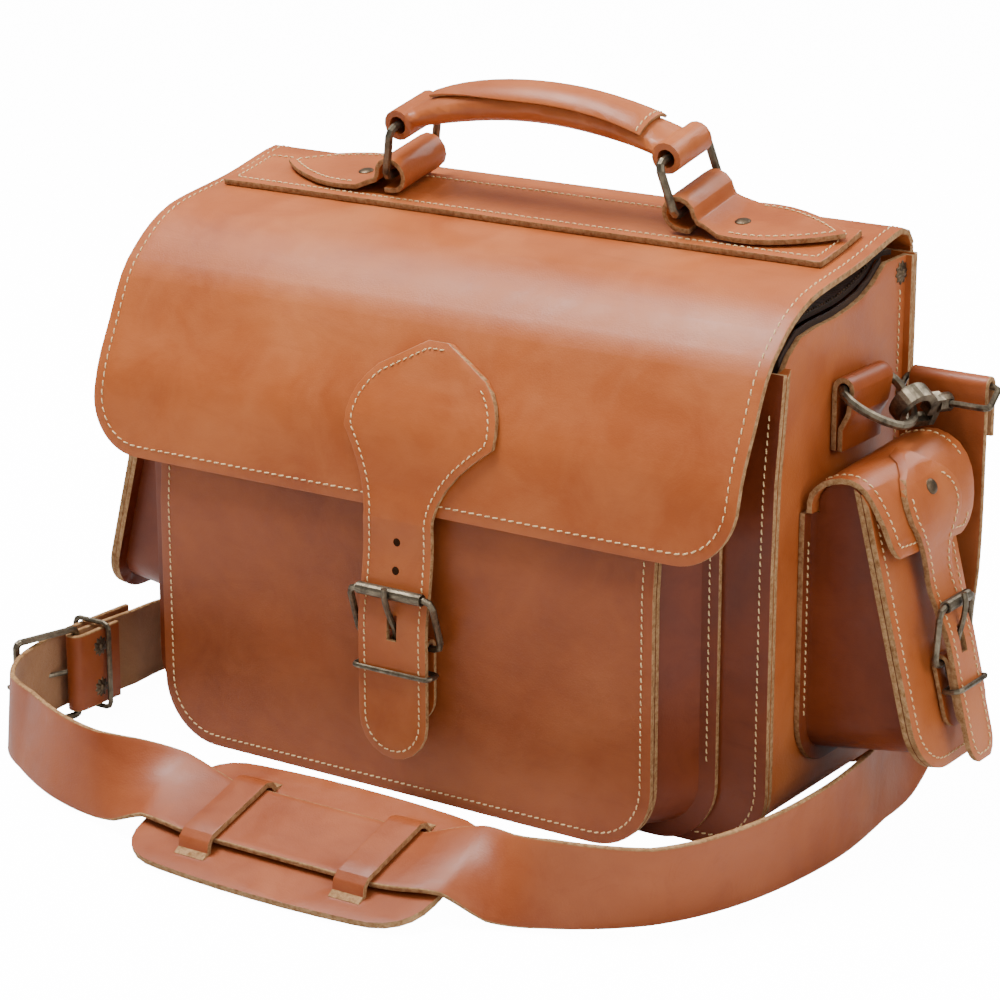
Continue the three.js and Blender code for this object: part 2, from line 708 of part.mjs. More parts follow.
// A sheet whose (y, z) line changes along x; the line is asked for at each place.
function changingSheet(lineAt, thickness, x0, x1, steps = 4) {
  const rings = [];
  for (let i = 0; i <= steps; i += 1) {
    const x = x0 + ((x1 - x0) * i) / steps;
    const line = lineAt(x / SIDE_HALF);
    const outline = [...offset(line, thickness / 2), ...offset(line, -thickness / 2).reverse()];
    rings.push(outline.map(([y, z]) => new THREE.Vector3(x, y, z)));
  }
  return loft(rings);
}

// Everything below the side flap's underside: the pocket's walls are cut off against it.
function underSideFlap() {
  const clearance = 0.6;
  const rings = [-1.1, 1.1].map((place) => {
    const under = sideFlapLine(place, -GUSSET_LEATHER - clearance);
    const lip = under[under.length - 1][1];
    const outline = [[0, 0], [0, SIDE_TOP], [under[0][0], SIDE_TOP], ...under, [-80, lip], [-80, 0]];
    return outline.map(([y, z]) => new THREE.Vector3(place * SIDE_HALF, y, z));
  });
  return loft(rings);
}

// The side flap seen from outside: its two lower corners are rounded off.
function sideFlapOutline(half) {
  const corner = 10;
  const frontLow = 135.4;
  const backLow = 131.4;
  const shape = new THREE.Shape();
  shape.moveTo(-half, SIDE_TOP + 40);
  shape.lineTo(-half, frontLow + corner);
  shape.quadraticCurveTo(-half, frontLow, -half + corner, frontLow - 0.6);
  shape.lineTo(half - corner, backLow + 0.6);
  shape.quadraticCurveTo(half, backLow, half, backLow + corner);
  shape.lineTo(half, SIDE_TOP + 40);
  shape.closePath();
  return shape;
}

function sideFlap() {
  const half = SIDE_HALF - 0.5;
  const leather = changingSheet((place) => sideFlapLine(place, -GUSSET_LEATHER / 2), GUSSET_LEATHER, -half, half);
  return common(leather, prism(sideFlapOutline(half + 0.1), 'y', -80, 10));
}

// Turns a point drawn about a side buckle's bar into the side pocket's own drawing.
function ontoSlope([y, z]) {
  const cos = Math.cos(SIDE_TILT);
  const sin = Math.sin(SIDE_TILT);
  return [y * cos - z * sin + sidePanelFace(SIDE_CHAPE_Z), y * sin + z * cos + SIDE_CHAPE_Z];
}

function sideStrap() {
  const gap = 2 * GAP + GUSSET_LEATHER / 2;
  const low = closureLine(SIDE_CHAPE_Z, 39).slice(2).map(ontoSlope);
  const lineAt = (place) => smooth([...sideFlapLine(place, gap).slice(7), ...low], 24);
  const strip = common(
    changingSheet(lineAt, GUSSET_LEATHER, -22, 22),
    prism(shieldStrapShape(11, 41, 126, { x: 0, half: 19, height: 50 }), 'y', -100, -10),
  );
  const hole = prongHole().rotateX(SIDE_TILT);
  return cut(strip, hole.translate(0, sidePanelFace(SIDE_CHAPE_Z), SIDE_CHAPE_Z));
}

function sideClosure() {
  const place = (geometry) => geometry.rotateX(SIDE_TILT)
    .translate(0, sidePanelFace(SIDE_CHAPE_Z), SIDE_CHAPE_Z);
  return {
    side_strap: sideStrap(),
    side_tab: place(buckleTab(10, -30)),
    side_buckle_frame: place(buckleFrame(15.5)),
    side_buckle_roller: place(buckleRoller(10.5)),
    side_buckle_prong: place(buckleProng()),
    side_keeper: place(buckleKeeper(13.4)),
  };
}

// ---- Strap rings and snap hooks ------------------------------------------------------------

// The far bar of the hook's loop, inside the shoulder strap's fold.
const FOLD_BAR = { y: SIDE_Y + 48.1, z: 195 };
const CHAPE_Y = -6.1;
const RING_DROP = THREE.MathUtils.degToRad(35);

function ringChape() {
  const bend = 4.2;
  const line = [[CHAPE_Y + bend, 172], [CHAPE_Y + bend, 190]];
  for (let i = 0; i <= 6; i += 1) {
    const angle = (Math.PI * i) / 6;
    line.push([CHAPE_Y + bend * Math.cos(angle), RING_Z + bend * Math.sin(angle)]);
  }
  line.push([CHAPE_Y - bend + 1.6, RING_Z - 11], [CHAPE_Y + 1, RING_Z - 18], [CHAPE_Y + 1, 172]);
  return sheet(line, GUSSET_LEATHER, RING_Y - 18, RING_Y + 18);
}

// A D-shaped ring: its straight side in the chape, its bow hanging out over the pocket.
function strapRing() {
  const flat = [[-17.5, 0], [0, 0], [17.5, 0], [21, 3.4], [19.6, 12], [12.8, 21.6], [5, 27],
    [-5, 27], [-12.8, 21.6], [-19.6, 12], [-21, 3.4]];
  const points = flat.map(([x, depth]) => [
    RING_Y + x,
    CHAPE_Y - depth * Math.cos(RING_DROP),
    RING_Z - depth * Math.sin(RING_DROP),
  ]);
  return wire(points, 2.1, true, 30);
}

// The hook is drawn along +Y of its own frame, with its claw's centre at the origin.
const LOOP_BAR = new THREE.Vector3(196, SIDE_Y + 38.5, 187.5);
const HOOK_WAY = new THREE.Vector3(0.36, 0.93, -0.05).normalize();
const HOOK_LENGTH = 17.2;

function hookFrame() {
  const claw = LOOP_BAR.clone().addScaledVector(HOOK_WAY, -HOOK_LENGTH);
  const wireWay = new THREE.Vector3(0.6, -0.68, -0.42);
  wireWay.addScaledVector(HOOK_WAY, -wireWay.dot(HOOK_WAY)).normalize();
  const across = HOOK_WAY.clone().cross(wireWay);
  return new THREE.Matrix4().makeBasis(across, HOOK_WAY, wireWay).setPosition(claw);
}

function hookBody() {
  const claw = new THREE.Shape();
  const tip = 2 * Math.PI - 0.35;
  claw.absarc(0, 0, 10, 0.5 * Math.PI, tip, false);
  claw.absarc(0, 0, 6.6, tip, 0.5 * Math.PI, true);
  claw.closePath();
  const bow = prism(claw, 'z', -4.2, 4.2, 10);
  const neck = block(-4.2, 4.2, 8, 15, -3, 3);
  const lug = block(0, 10.4, 11.8, 15, -3, 3);
  const barrel = rod([0, HOOK_LENGTH - 4.4, 0], [0, HOOK_LENGTH + 3.2, 0], 4.4);
  const body = joined(bow, neck, lug, barrel).applyMatrix4(hookFrame());
  const eye = rod([LOOP_BAR.x - 20, LOOP_BAR.y, LOOP_BAR.z], [LOOP_BAR.x + 20, LOOP_BAR.y, LOOP_BAR.z], 2);
  return cut(body, eye);
}

// Sprung gate that closes the claw's mouth, turning on a pin beside the neck.
function hookGate() {
  const outline = [[6.6, -1.2], [9.8, -2.2], [10.4, 4], [10.4, 11.5], [7.2, 11.5], [7.2, 4]];
  return prism(polygon(outline), 'z', -3, 3).applyMatrix4(hookFrame());
}

function hookLoop() {
  const far = new THREE.Vector3(LOOP_BAR.x, FOLD_BAR.y, FOLD_BAR.z);
  const up = far.clone().sub(LOOP_BAR);
  const middle = LOOP_BAR.clone().addScaledVector(up, 0.5);
  const half = up.length() / 2;
  return wireRectangle(middle, new THREE.Vector3(1, 0, 0), up.normalize(), 22.5, half, 2.4, 1.5);
}

// ---- Shoulder strap ------------------------------------------------------------------------

// Middle of the strap buckle's hinge bar.
const BUCKLE_AT = new THREE.Vector3(-193.4, -76.5, 24);

// A flat strap through pairs of edge points; each pair is its lower and its upper edge.
function ribbon(edges, steps, thickness = STRAP_LEATHER) {
  const spline = (k) => new THREE.CatmullRomCurve3(
    edges.map((pair) => new THREE.Vector3(...pair[k])), false, 'centripetal');
  const curves = [spline(0), spline(1)];
  const last = edges.length - 1;
  const rings = [];
  for (let i = 0; i <= steps; i += 1) {
    const t = i / steps;
    const [low, high] = curves.map((curve) => curve.getPoint(t));
    const ahead = curves.map((curve) => curve.getPoint(Math.min(t + 0.2 / last, 1)));
    const behind = curves.map((curve) => curve.getPoint(Math.max(t - 0.2 / last, 0)));
    const way = ahead[0].clone().add(ahead[1]).sub(behind[0]).sub(behind[1]);
    const across = high.clone().sub(low).normalize();
    const out = way.cross(across).normalize().multiplyScalar(thickness / 2);
    rings.push([low.clone().add(out), high.clone().add(out), high.clone().sub(out), low.clone().sub(out)]);
  }
  return loft(rings);
}

// The strap's fall from the right-hand hook to the ground, as pairs of edge points.
const FALL = [
  [[214.7, 66.3, 158], [176.3, 66.3, 158]],
  [[212.5, 69.5, 110], [174.1, 68.5, 110]],
  [[206.5, 73.5, 76], [171.5, 76, 92]],
  [[200, 76, 46], [173.5, 78, 73.5]],
  [[193, 72.5, 18], [179, 68, 53.5]],
  [[190.5, 54.5, 2.5], [183.5, 50, 39.5]],
  [[192.5, 24.5, 1.8], [190, 22.5, 38.8]],
];

// From there round the front of the bag, under the pad's bands, round the bend at the left and
// through the strap buckle to the strap's own tip.
const ROUND = [
  [[196.2, -15.5, 1.8], [195, -15.5, 38.9]],
  [[194.4, -50, 1.8], [195.4, -51.5, 38.8]],
  [[185.5, -93, 1.8], [188.8, -96, 38.6]],
  [[165.5, -132, 1.8], [169, -136.8, 38.4]],
  [[132, -159, 1.8], [132, -155, 40.1]],
  [[109, -170, 3], [109, -147.9, 34.5]],
  [[92, -177, 13.2], [92, -143.7, 32.5]],
  [[74, -181.5, 13], [74, -145.8, 27.4]],
  [[62, -183, 12.4], [62, -146, 23.1]],
  [[50, -183, 12.4], [50, -146, 23.1]],
  [[11, -183, 12.4], [11, -146, 23.1]],
  [[-28, -183, 12.4], [-28, -146, 23.1]],
  [[-40, -183, 12.4], [-40, -146, 23.1]],
  [[-67, -180, 13.2], [-67, -146, 31.3]],
  [[-87, -176, 4.8], [-87, -155, 37.1]],
  [[-106, -171, 1.8], [-106, -161.7, 39.2]],
  [[-135, -163, 1.8], [-135, -154.3, 39.3]],
  [[-169, -145, 1.8], [-166.6, -138, 38.3]],
  [[-189, -130.5, 1.8], [-187.4, -128.4, 39.6]],
  [[-196.6, -113.5, 3.6], [-196.2, -113.2, 42.1]],
  [[-199.9, -96, 4.6], [-199.7, -96, 43.1]],
  [[-202.7, -78, 4.8], [-202.6, -78, 43.3]],
  [[-202.7, -28, 4.6], [-202.6, -28, 43.1]],
];

// The short end, from its fold at the buckle back to the left-hand hook's side.
const SHORT = [
  [[-196.8, -70, 4.8], [-196.8, -70, 43.3]],
  [[-196.8, -30, 3.4], [-196.8, -30, 41.9]],
  [[-201, -2, 1.8], [-200.6, -2, 39.1]],
  ...FALL.slice().reverse().map((pair) => pair.map(([x, y, z]) => [-x, y, z])),
];

// The turned-over end of the strap on a hook's loop: front layer, bend and short back layer.
function hookFold(side) {
  const { y, z } = FOLD_BAR;
  const bend = 3.3;
  const points = [[y - bend, 155], [y - bend, 175]];
  for (let i = 0; i <= 6; i += 1) {
    const angle = Math.PI - (Math.PI * i) / 6;
    points.push([y + bend * Math.cos(angle), z + bend * Math.sin(angle)]);
  }
  points.push([y + bend, 172]);
  const x = side > 0 ? [176.3, 214.7] : [-214.7, -176.3];
  return sheet(points, STRAP_LEATHER, ...x);
}

function strapLong() {
  const prongSlot = block(-210, -192, -100, -82, 21, 27);
  return cut(joined(ribbon([...FALL, ...ROUND], 76), hookFold(1)), prongSlot);
}

// The short end turned over the buckle's bar, with a slot for the prong.
function buckleFold() {
  const [x, y] = [BUCKLE_AT.x, BUCKLE_AT.y];
  const bend = 3.4;
  const line = [[x - bend, y + 8], [x - bend, y]];
  for (let i = 1; i <= 6; i += 1) {
    const angle = Math.PI + (Math.PI * i) / 6;
    line.push([x + bend * Math.cos(angle), y + bend * Math.sin(angle)]);
  }
  line.push([x + bend, y + 26]);
  const outline = [...offset(line, STRAP_LEATHER / 2), ...offset(line, -STRAP_LEATHER / 2).reverse()];
  return prism(polygon(outline), 'z', 4.8, 43.3);
}

function strapShort() {
  const prongSlot = block(-205, -187, -84, -71, 21, 27);
  return cut(joined(ribbon(SHORT, 30), buckleFold(), hookFold(-1)), prongSlot);
}

// Shoulder pad: one leaf of leather whose two bands stand up over the strap.
function strapPad() {
  const leaf = new THREE.Shape();
  const half = 78;
  const width = 81;
  leaf.moveTo(-half, 26);
  leaf.quadraticCurveTo(-half, 3, -half + 26, 2);
  leaf.quadraticCurveTo(0, -2, half - 26, 2);
  leaf.quadraticCurveTo(half, 3, half, 26);
  leaf.lineTo(half, width - 26);
  leaf.quadraticCurveTo(half, width - 3, half - 26, width - 2);
  leaf.quadraticCurveTo(0, width + 2, -half + 26, width - 2);
  leaf.quadraticCurveTo(-half, width - 3, -half, width - 26);
  leaf.closePath();
  const plate = prism(leaf, 'z', 0, 3.2, 6);
  const middle = width / 2;
  const line = [[middle - 29, 2.2], [middle - 25, 3.6], [middle - 23, 7.6], [middle - 19.8, 9.5],
    [middle + 19.8, 9.5], [middle + 23, 7.6], [middle + 25, 3.6], [middle + 29, 2.2]];
  const bands = [-41.5, 41.5].map((x) => sheet(line, 2.6, x - 8, x + 8));
  const pad = joined(plate, ...bands);
  return pad.rotateX(THREE.MathUtils.degToRad(16)).translate(11, -202, 0.6);
}


function strapBuckle() {
  const up = new THREE.Vector3(0, 0, 1);
  const reach = new THREE.Vector3(-8.6, -33, 0);
  const middle = BUCKLE_AT.clone().addScaledVector(reach, 0.5);
  const length = reach.length();
  const frame = wireRectangle(middle, up, reach.normalize(), 22.0, length / 2, 2.4, 1.8);
  const keeperMiddle = new THREE.Vector3(-195.8, -62, 24);
  const keeper = wireRectangle(keeperMiddle, up, new THREE.Vector3(1, 0, 0), 21.6, 10.4, 3, 1.3);
  const eye = sleeve(1.8, 2.1, 4.2, 10).rotateY(Math.PI / 2).translate(...BUCKLE_AT.toArray());
  const arm = wire([[-196.3, -78, 24], [-199.4, -86, 24], [-203.4, -96, 24], [-205.5, -107, 24], [-205.6, -112, 24]],
    1.3, false, 8);
  return { strap_buckle_frame: frame, strap_buckle_prong: joined(eye, arm), strap_keeper: keeper };
}

// ---- The bag -------------------------------------------------------------------------------

const bag = new THREE.Group();

function add(name, geometry, color, roughness = 0.5, metalness = 0) {
  const material = new THREE.MeshStandardMaterial({ color, roughness, metalness });
  const mesh = new THREE.Mesh(geometry, material);
  mesh.name = name;
  bag.add(mesh);
}

const METAL = /frame|roller|prong|keeper|ring_|hook|slider/;

function colourOf(name) {
  if (METAL.test(name)) {
    return [BRONZE, 0.42, 0.9];
  }
  if (name.startsWith('zip')) {
    return [TAPE, 0.9, 0];
  }
  if (name.startsWith('insert')) {
    return [LINING, 0.95, 0];
  }
  if (name.includes('gusset') || name === 'back_panel') {
    return [TAN_DARK, 0.55, 0];
  }
  return name.startsWith('strap') ? [TAN_LIGHT, 0.5, 0] : [TAN, 0.48, 0];
}

function addAll(pieces) {
  Object.entries(pieces).forEach(([name, geometry]) => add(name, geometry, ...colourOf(name)));
}

function sidePieces() {
  const turned = {
    ...sidePocket(),
    side_flap: sideFlap(),
    ...sideClosure(),
    ring_chape: ringChape(),
    strap_ring_d: strapRing(),
  };
  const placed = {};
  Object.entries(turned).forEach(([name, geometry]) => {
    placed[name] = onRightSide(geometry);
  });
  return { ...placed, hook_body: hookBody(), hook_gate: hookGate(), hook_loop: hookLoop() };
}

addAll(bodyPanels());
addAll({ main_gusset: mainGusset(), ...frontPocket() });
addAll({ zip_tape: zipTape(), zip_lid: zipLid(), zip_slider: zipSlider() });
addAll(insert());
addAll({ flap: flapLeather(), flap_sewn_edge: flapSewnEdge(), front_strap: frontStrap() });
addAll(frontClosure());
addAll(handle());
Object.entries(sidePieces()).forEach(([name, geometry]) => {
  add(`${name}_right`, geometry, ...colourOf(name));
  add(`${name}_left`, mirroredLeft(geometry), ...colourOf(name));
});
addAll({ strap_long: strapLong(), strap_short: strapShort(), strap_pad: strapPad(), ...strapBuckle() });

export default bag;
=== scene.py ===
"""Leather camera bag: the looks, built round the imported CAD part. Metres, +Z up, -Y is the bag's front."""

import math

import bmesh
import bpy
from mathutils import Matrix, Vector
from mathutils.bvhtree import BVHTree
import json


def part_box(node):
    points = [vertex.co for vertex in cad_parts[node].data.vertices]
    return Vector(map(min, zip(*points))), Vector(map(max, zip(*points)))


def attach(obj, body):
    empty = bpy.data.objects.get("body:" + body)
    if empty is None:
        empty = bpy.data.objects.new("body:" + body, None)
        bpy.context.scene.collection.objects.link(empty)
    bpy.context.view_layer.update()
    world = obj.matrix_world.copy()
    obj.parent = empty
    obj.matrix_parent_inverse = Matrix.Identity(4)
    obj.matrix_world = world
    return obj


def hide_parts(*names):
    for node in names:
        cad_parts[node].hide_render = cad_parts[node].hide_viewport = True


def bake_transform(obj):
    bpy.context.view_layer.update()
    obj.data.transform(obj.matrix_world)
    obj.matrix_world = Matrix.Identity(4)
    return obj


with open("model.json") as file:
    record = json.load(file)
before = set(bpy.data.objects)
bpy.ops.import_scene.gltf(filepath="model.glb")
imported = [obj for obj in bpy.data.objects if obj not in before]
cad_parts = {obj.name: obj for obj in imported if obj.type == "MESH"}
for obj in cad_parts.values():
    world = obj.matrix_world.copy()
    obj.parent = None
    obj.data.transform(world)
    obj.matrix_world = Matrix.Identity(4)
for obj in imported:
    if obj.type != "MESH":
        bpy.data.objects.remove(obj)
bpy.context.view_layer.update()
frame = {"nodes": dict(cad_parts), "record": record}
NODES = frame["nodes"]
BODY = {n: body for body, names in frame["record"]["behaviour"]["bodies"].items() for n in names}
SIDES = (("right", 1), ("left", -1))
MM = 0.001

# ---- Driving dimensions --------------------------------------------------------------------

STITCH_PITCH = 3.5 * MM
FLAP_PITCH = 4.2 * MM       # the flap's row is sewn more openly
STITCH_SHARE = 0.68         # part of the pitch that the thread shows
THREAD = 0.36 * MM          # radius of the sewing thread
INSET = 5.2 * MM            # how far a stitch row runs inside an edge
SLOT_ROUND = 70 * MM        # an edge loop shorter than this is a slot and is not sewn round
WOBBLE = 0.35 * MM          # how far the leather ripples
CALM = ("side_flap", "side_strap", "side_tab", "front_strap", "front_tab", "ring_chape")
SKIN_CELL = 9 * MM          # spacing of the cuts that let a leather piece ripple
SKIN_BEVEL = 0.55 * MM      # rounding of a leather piece's edges
THIN = 3.6 * MM             # a face with more leather than this behind it is a raw edge
THIN_STRAP = 3.05 * MM      # the same for the small straps, tabs and side flaps
STRAP = 38.5 * MM
STRAP_THICK = 2.6 * MM
FLAP_X = -9 * MM
TAB_Y = 42 * MM
CLOSURE_X = -2 * MM
SIDE_Y = 21.5 * MM
SEW_SAMPLE = 1.5 * MM       # spacing of the points that a border row is worked out from
SHORTEST_ROW = 16 * MM      # a border row shorter than this is left out
ROW_BRIDGE = 14 * MM        # rows whose ends are nearer than this run on into each other
CORNER_SHARE = 0.93         # a row stops where it comes nearer to any edge than this share of its inset
THREAD_SIDES = 6            # facets round the sewing thread
SPAN_STEPS = 8              # rings between two rows of the shoulder strap's route
FOLD_STEPS = 6              # steps round the bend where the strap turns back on itself
METAL_SMOOTH = 52           # degrees: metal facets meeting at less than this shade smoothly

# ---- Camera --------------------------------------------------------------------------------

AZIMUTH = 34.0              # degrees
ELEVATION = 16.9            # degrees
DISTANCE = 1.5512
TARGET = (-0.0180, 0.0295, 0.1138)
SENSOR = 36.0               # millimetres, as the camera takes them
LENS = 117.9648             # millimetres


def make_camera():
    azimuth, elevation = math.radians(AZIMUTH), math.radians(ELEVATION)
    back = Vector((
        math.sin(azimuth) * math.cos(elevation),
        -math.cos(azimuth) * math.cos(elevation),
        math.sin(elevation),
    ))
    data = bpy.data.cameras.new("camera")
    data.sensor_width = SENSOR
    data.lens = LENS
    camera = bpy.data.objects.new("camera", data)
    camera.location = Vector(TARGET) + back * DISTANCE
    camera.rotation_euler = (-back).to_track_quat("-Z", "Y").to_euler()
    bpy.context.scene.collection.objects.link(camera)
    bpy.context.scene.camera = camera


make_camera()

# ---- Materials -----------------------------------------------------------------------------


class Shader:
    """A small helper that builds one node material."""

    def __init__(self, name):
        self.material = bpy.data.materials.new(name)
        self.material.use_nodes = True
        self.tree = self.material.node_tree
        self.bsdf = self.tree.nodes["Principled BSDF"]
        self.place = self.add("ShaderNodeTexCoord").outputs["Object"]

    def add(self, kind, **values):
        node = self.tree.nodes.new(kind)
        for name, value in values.items():
            setattr(node, name, value)
        return node

    def link(self, source, target):
        self.tree.links.new(source, target)

    def noise(self, scale, detail=3.0, roughness=0.5, distortion=0.0, stretch=None):
        node = self.add("ShaderNodeTexNoise")
        node.inputs["Scale"].default_value = scale
        node.inputs["Detail"].default_value = detail
        node.inputs["Roughness"].default_value = roughness
        node.inputs["Distortion"].default_value = distortion
        if stretch:
            mapping = self.add("ShaderNodeMapping")
            mapping.inputs["Scale"].default_value = stretch
            self.link(self.place, mapping.inputs["Vector"])
            self.link(mapping.outputs["Vector"], node.inputs["Vector"])
        else:
            self.link(self.place, node.inputs["Vector"])
        return node.outputs["Fac"]

    def cells(self, scale):
        node = self.add("ShaderNodeTexVoronoi", feature="F1")
        node.inputs["Scale"].default_value = scale
        self.link(self.place, node.inputs["Vector"])
        return node.outputs["Distance"]

    def ramp(self, source, stops):
        node = self.add("ShaderNodeValToRGB")
        elements = node.color_ramp.elements
        while len(elements) < len(stops):
            elements.new(0.5)
        for element, (place, colour) in zip(elements, stops):
            element.position = place
            element.color = (*colour, 1)
        self.link(source, node.inputs["Fac"])
        return node.outputs["Color"]

    def grey(self, source, low, high, start=0.0, end=1.0):
        node = self.add("ShaderNodeMapRange")
        node.inputs["From Min"].default_value = start
        node.inputs["From Max"].default_value = end
        node.inputs["To Min"].default_value = low
        node.inputs["To Max"].default_value = high
        self.link(source, node.inputs["Value"])
        return node.outputs["Result"]

    def mix(self, factor, a, b, mode="MIX"):
        node = self.add("ShaderNodeMix", data_type="RGBA", blend_type=mode)
        for socket, value in ((node.inputs[0], factor), (node.inputs[6], a), (node.inputs[7], b)):
            if isinstance(value, (int, float)):
                socket.default_value = value
            elif isinstance(value, tuple):
                socket.default_value = (*value, 1)
            else:
                self.link(value, socket)
        return node.outputs[2]

    def bump(self, heights):
        """heights is a list of (source, strength, distance in metres), coarsest first."""
        normal = None
        for source, strength, distance in heights:
            node = self.add("ShaderNodeBump")
            node.inputs["Strength"].default_value = strength
            node.inputs["Distance"].default_value = distance
            self.link(source, node.inputs["Height"])
            if normal:
                self.link(normal, node.inputs["Normal"])
            normal = node.outputs["Normal"]
        self.link(normal, self.bsdf.inputs["Normal"])

    def set(self, **values):
        for name, value in values.items():
            self.bsdf.inputs[name.replace("_", " ")].default_value = value


def leather(name, dark, middle, light, roughness=0.40, grain=1.0):
    s = Shader(name)
    clouds = s.noise(9.0, 4.0, 0.6, 0.4)
    blotches = s.noise(34.0, 5.0, 0.65, 0.8)
    fibres = s.noise(60.0, 6.0, 0.7, 1.4, stretch=(0.28, 1.0, 1.0))
    base = s.ramp(clouds, [(0.30, dark), (0.52, middle), (0.74, light)])
    mottled = s.mix(s.grey(blotches, 0.0, 0.40, 0.40, 0.72), base, light)
    tinted = s.mix(s.grey(fibres, 0.0, 0.38, 0.52, 0.78), mottled, dark)
    edge = s.add("ShaderNodeAttribute", attribute_name="wear").outputs["Fac"]
    s.link(s.mix(s.grey(edge, 0.0, 0.42), tinted, light), s.bsdf.inputs["Base Color"])
    s.link(s.grey(blotches, roughness - 0.07, roughness + 0.12, 0.3, 0.7), s.bsdf.inputs["Roughness"])
    s.bump([
        (clouds, 0.25, 0.0016),
        (s.noise(150.0, 4.0, 0.6), 0.22 * grain, 0.0005),
        (s.cells(1150.0), 0.16 * grain, 0.00022),
        (s.noise(2600.0, 2.0), 0.10 * grain, 0.00012),
    ])
    s.set(Coat_Weight=0.04, Coat_Roughness=0.30, Specular_IOR_Level=0.28)
    return s.material


def raw_edge(name, dark, light):
    """A cut edge: pale fibres in fine layers along the leather."""
    s = Shader(name)
    layers = s.noise(420.0, 5.0, 0.7)
    patches = s.noise(60.0, 4.0, 0.6)
    base = s.ramp(layers, [(0.33, dark), (0.62, light)])
    s.link(s.mix(s.grey(patches, 0.0, 0.45, 0.45, 0.7), base, dark), s.bsdf.inputs["Base Color"])
    s.set(Roughness=0.82, Specular_IOR_Level=0.2)
    s.bump([(layers, 0.5, 0.0004), (s.noise(1800.0, 3.0), 0.3, 0.0002)])
    return s.material


def suede(name, dark, light):
    s = Shader(name)
    nap = s.noise(900.0, 5.0, 0.75)
    drift = s.noise(26.0, 5.0, 0.6, 0.6)
    base = s.ramp(drift, [(0.32, dark), (0.68, light)])
    s.link(s.mix(s.grey(nap, 0.0, 0.35, 0.4, 0.7), base, dark), s.bsdf.inputs["Base Color"])
    s.set(Roughness=0.92, Specular_IOR_Level=0.15, Sheen_Weight=0.25, Sheen_Roughness=0.5)
    s.bump([(drift, 0.3, 0.001), (nap, 0.5, 0.0004)])
    return s.material


def brass(name, dark, rubbed, roughness=0.36):
    """Antique brass: dark in the hollows, brighter where it is rubbed."""
    s = Shader(name)
    tarnish = s.noise(120.0, 5.0, 0.7, 0.5)
    scratches = s.noise(700.0, 3.0, 0.6, stretch=(1.0, 1.0, 0.2))
    base = s.ramp(tarnish, [(0.32, dark), (0.70, rubbed)])
    s.link(s.mix(s.grey(scratches, 0.0, 0.35, 0.5, 0.75), base, rubbed), s.bsdf.inputs["Base Color"])
    s.link(s.grey(tarnish, roughness + 0.16, roughness - 0.06, 0.3, 0.7), s.bsdf.inputs["Roughness"])
    s.set(Metallic=0.95)
    s.bump([(tarnish, 0.25, 0.0003), (scratches, 0.12, 0.0001)])
    return s.material


def thread(name, colour, shade):
    s = Shader(name)
    twist = s.noise(1500.0, 2.0)
    s.link(s.ramp(twist, [(0.35, shade), (0.62, colour)]), s.bsdf.inputs["Base Color"])
    s.set(Roughness=0.78, Sheen_Weight=0.2, Specular_IOR_Level=0.25)
    s.bump([(twist, 0.4, 0.0002)])
    return s.material


def cloth(name, dark, light, threads=900.0):
    """A plain weave from two crossed sets of threads."""
    s = Shader(name)
    warp = s.add("ShaderNodeTexWave", bands_direction="X")
    weft = s.add("ShaderNodeTexWave", bands_direction="Z")
    for wave in (warp, weft):
        wave.inputs["Scale"].default_value = threads
        wave.inputs["Distortion"].default_value = 0.6
        s.link(s.place, wave.inputs["Vector"])
    weave = s.mix(0.5, warp.outputs["Color"], weft.outputs["Color"])
    drift = s.noise(40.0, 4.0)
    base = s.ramp(drift, [(0.3, dark), (0.7, light)])
    s.link(s.mix(weave, base, dark, "MULTIPLY"), s.bsdf.inputs["Base Color"])
    s.set(Roughness=0.92, Sheen_Weight=0.1, Specular_IOR_Level=0.15)
    s.bump([(weave, 0.4, 0.0004)])
    return s.material


LEATHER = leather("leather", (0.285, 0.060, 0.012), (0.380, 0.093, 0.021), (0.475, 0.143, 0.042))
# Painted shade: the same leather made darker for the pocket's upright front, which gets less light than the
# flap.
SHADED_POCKET = leather("leather_shaded_pocket", (0.200, 0.041, 0.009), (0.285, 0.066, 0.016), (0.370, 0.103, 0.031))
# Painted shade: the bag's leather made much darker for the front panel, the pocket's gusset and the side
# gussets, which stand in the bag's shade.
SHADED = leather("leather_shaded", (0.095, 0.0155, 0.004), (0.150, 0.027, 0.007), (0.215, 0.046, 0.013))
STRAP_SKIN = leather(
    "leather_strap", (0.205, 0.040, 0.009), (0.280, 0.063, 0.016), (0.375, 0.105, 0.034), 0.42
)
TAB_SKIN = leather("leather_tab", (0.210, 0.038, 0.007), (0.300, 0.062, 0.012), (0.385, 0.098, 0.024), 0.36)
EDGE = raw_edge("raw_edge", (0.190, 0.085, 0.030), (0.430, 0.250, 0.115))
SUEDE = suede("flesh_side", (0.260, 0.115, 0.045), (0.400, 0.200, 0.090))
THREAD_CREAM = thread("thread", (0.84, 0.62, 0.32), (0.56, 0.35, 0.14))
BRASS = brass("antique_brass", (0.050, 0.040, 0.028), (0.250, 0.205, 0.140))
BRASS_DARK = brass("rivet_metal", (0.030, 0.020, 0.013), (0.170, 0.115, 0.068), 0.42)
TAPE = cloth("zip_cloth", (0.045, 0.019, 0.009), (0.095, 0.045, 0.022))
LINING = cloth("lining", (0.060, 0.038, 0.022), (0.150, 0.095, 0.055), 500.0)

# ---- Leather pieces made from the CAD solids -------------------------------------------------


def tree_of(*names):
    """A search tree over the CAD faces of some nodes."""
    mesh = bmesh.new()
    for name in names:
        mesh.from_mesh(NODES[name].data)
    tree = BVHTree.FromBMesh(mesh)
    mesh.free()
    return tree


def make_object(name, mesh, body, material_list):
    data = bpy.data.meshes.new(name)
    mesh.to_mesh(data)
    mesh.free()
    for material in material_list:
        data.materials.append(material)
    data.polygons.foreach_set("use_smooth", [True] * len(data.polygons))
    piece = bpy.data.objects.new(name, data)
    bpy.context.scene.collection.objects.link(piece)
    if body:
        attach(piece, body)
    return piece


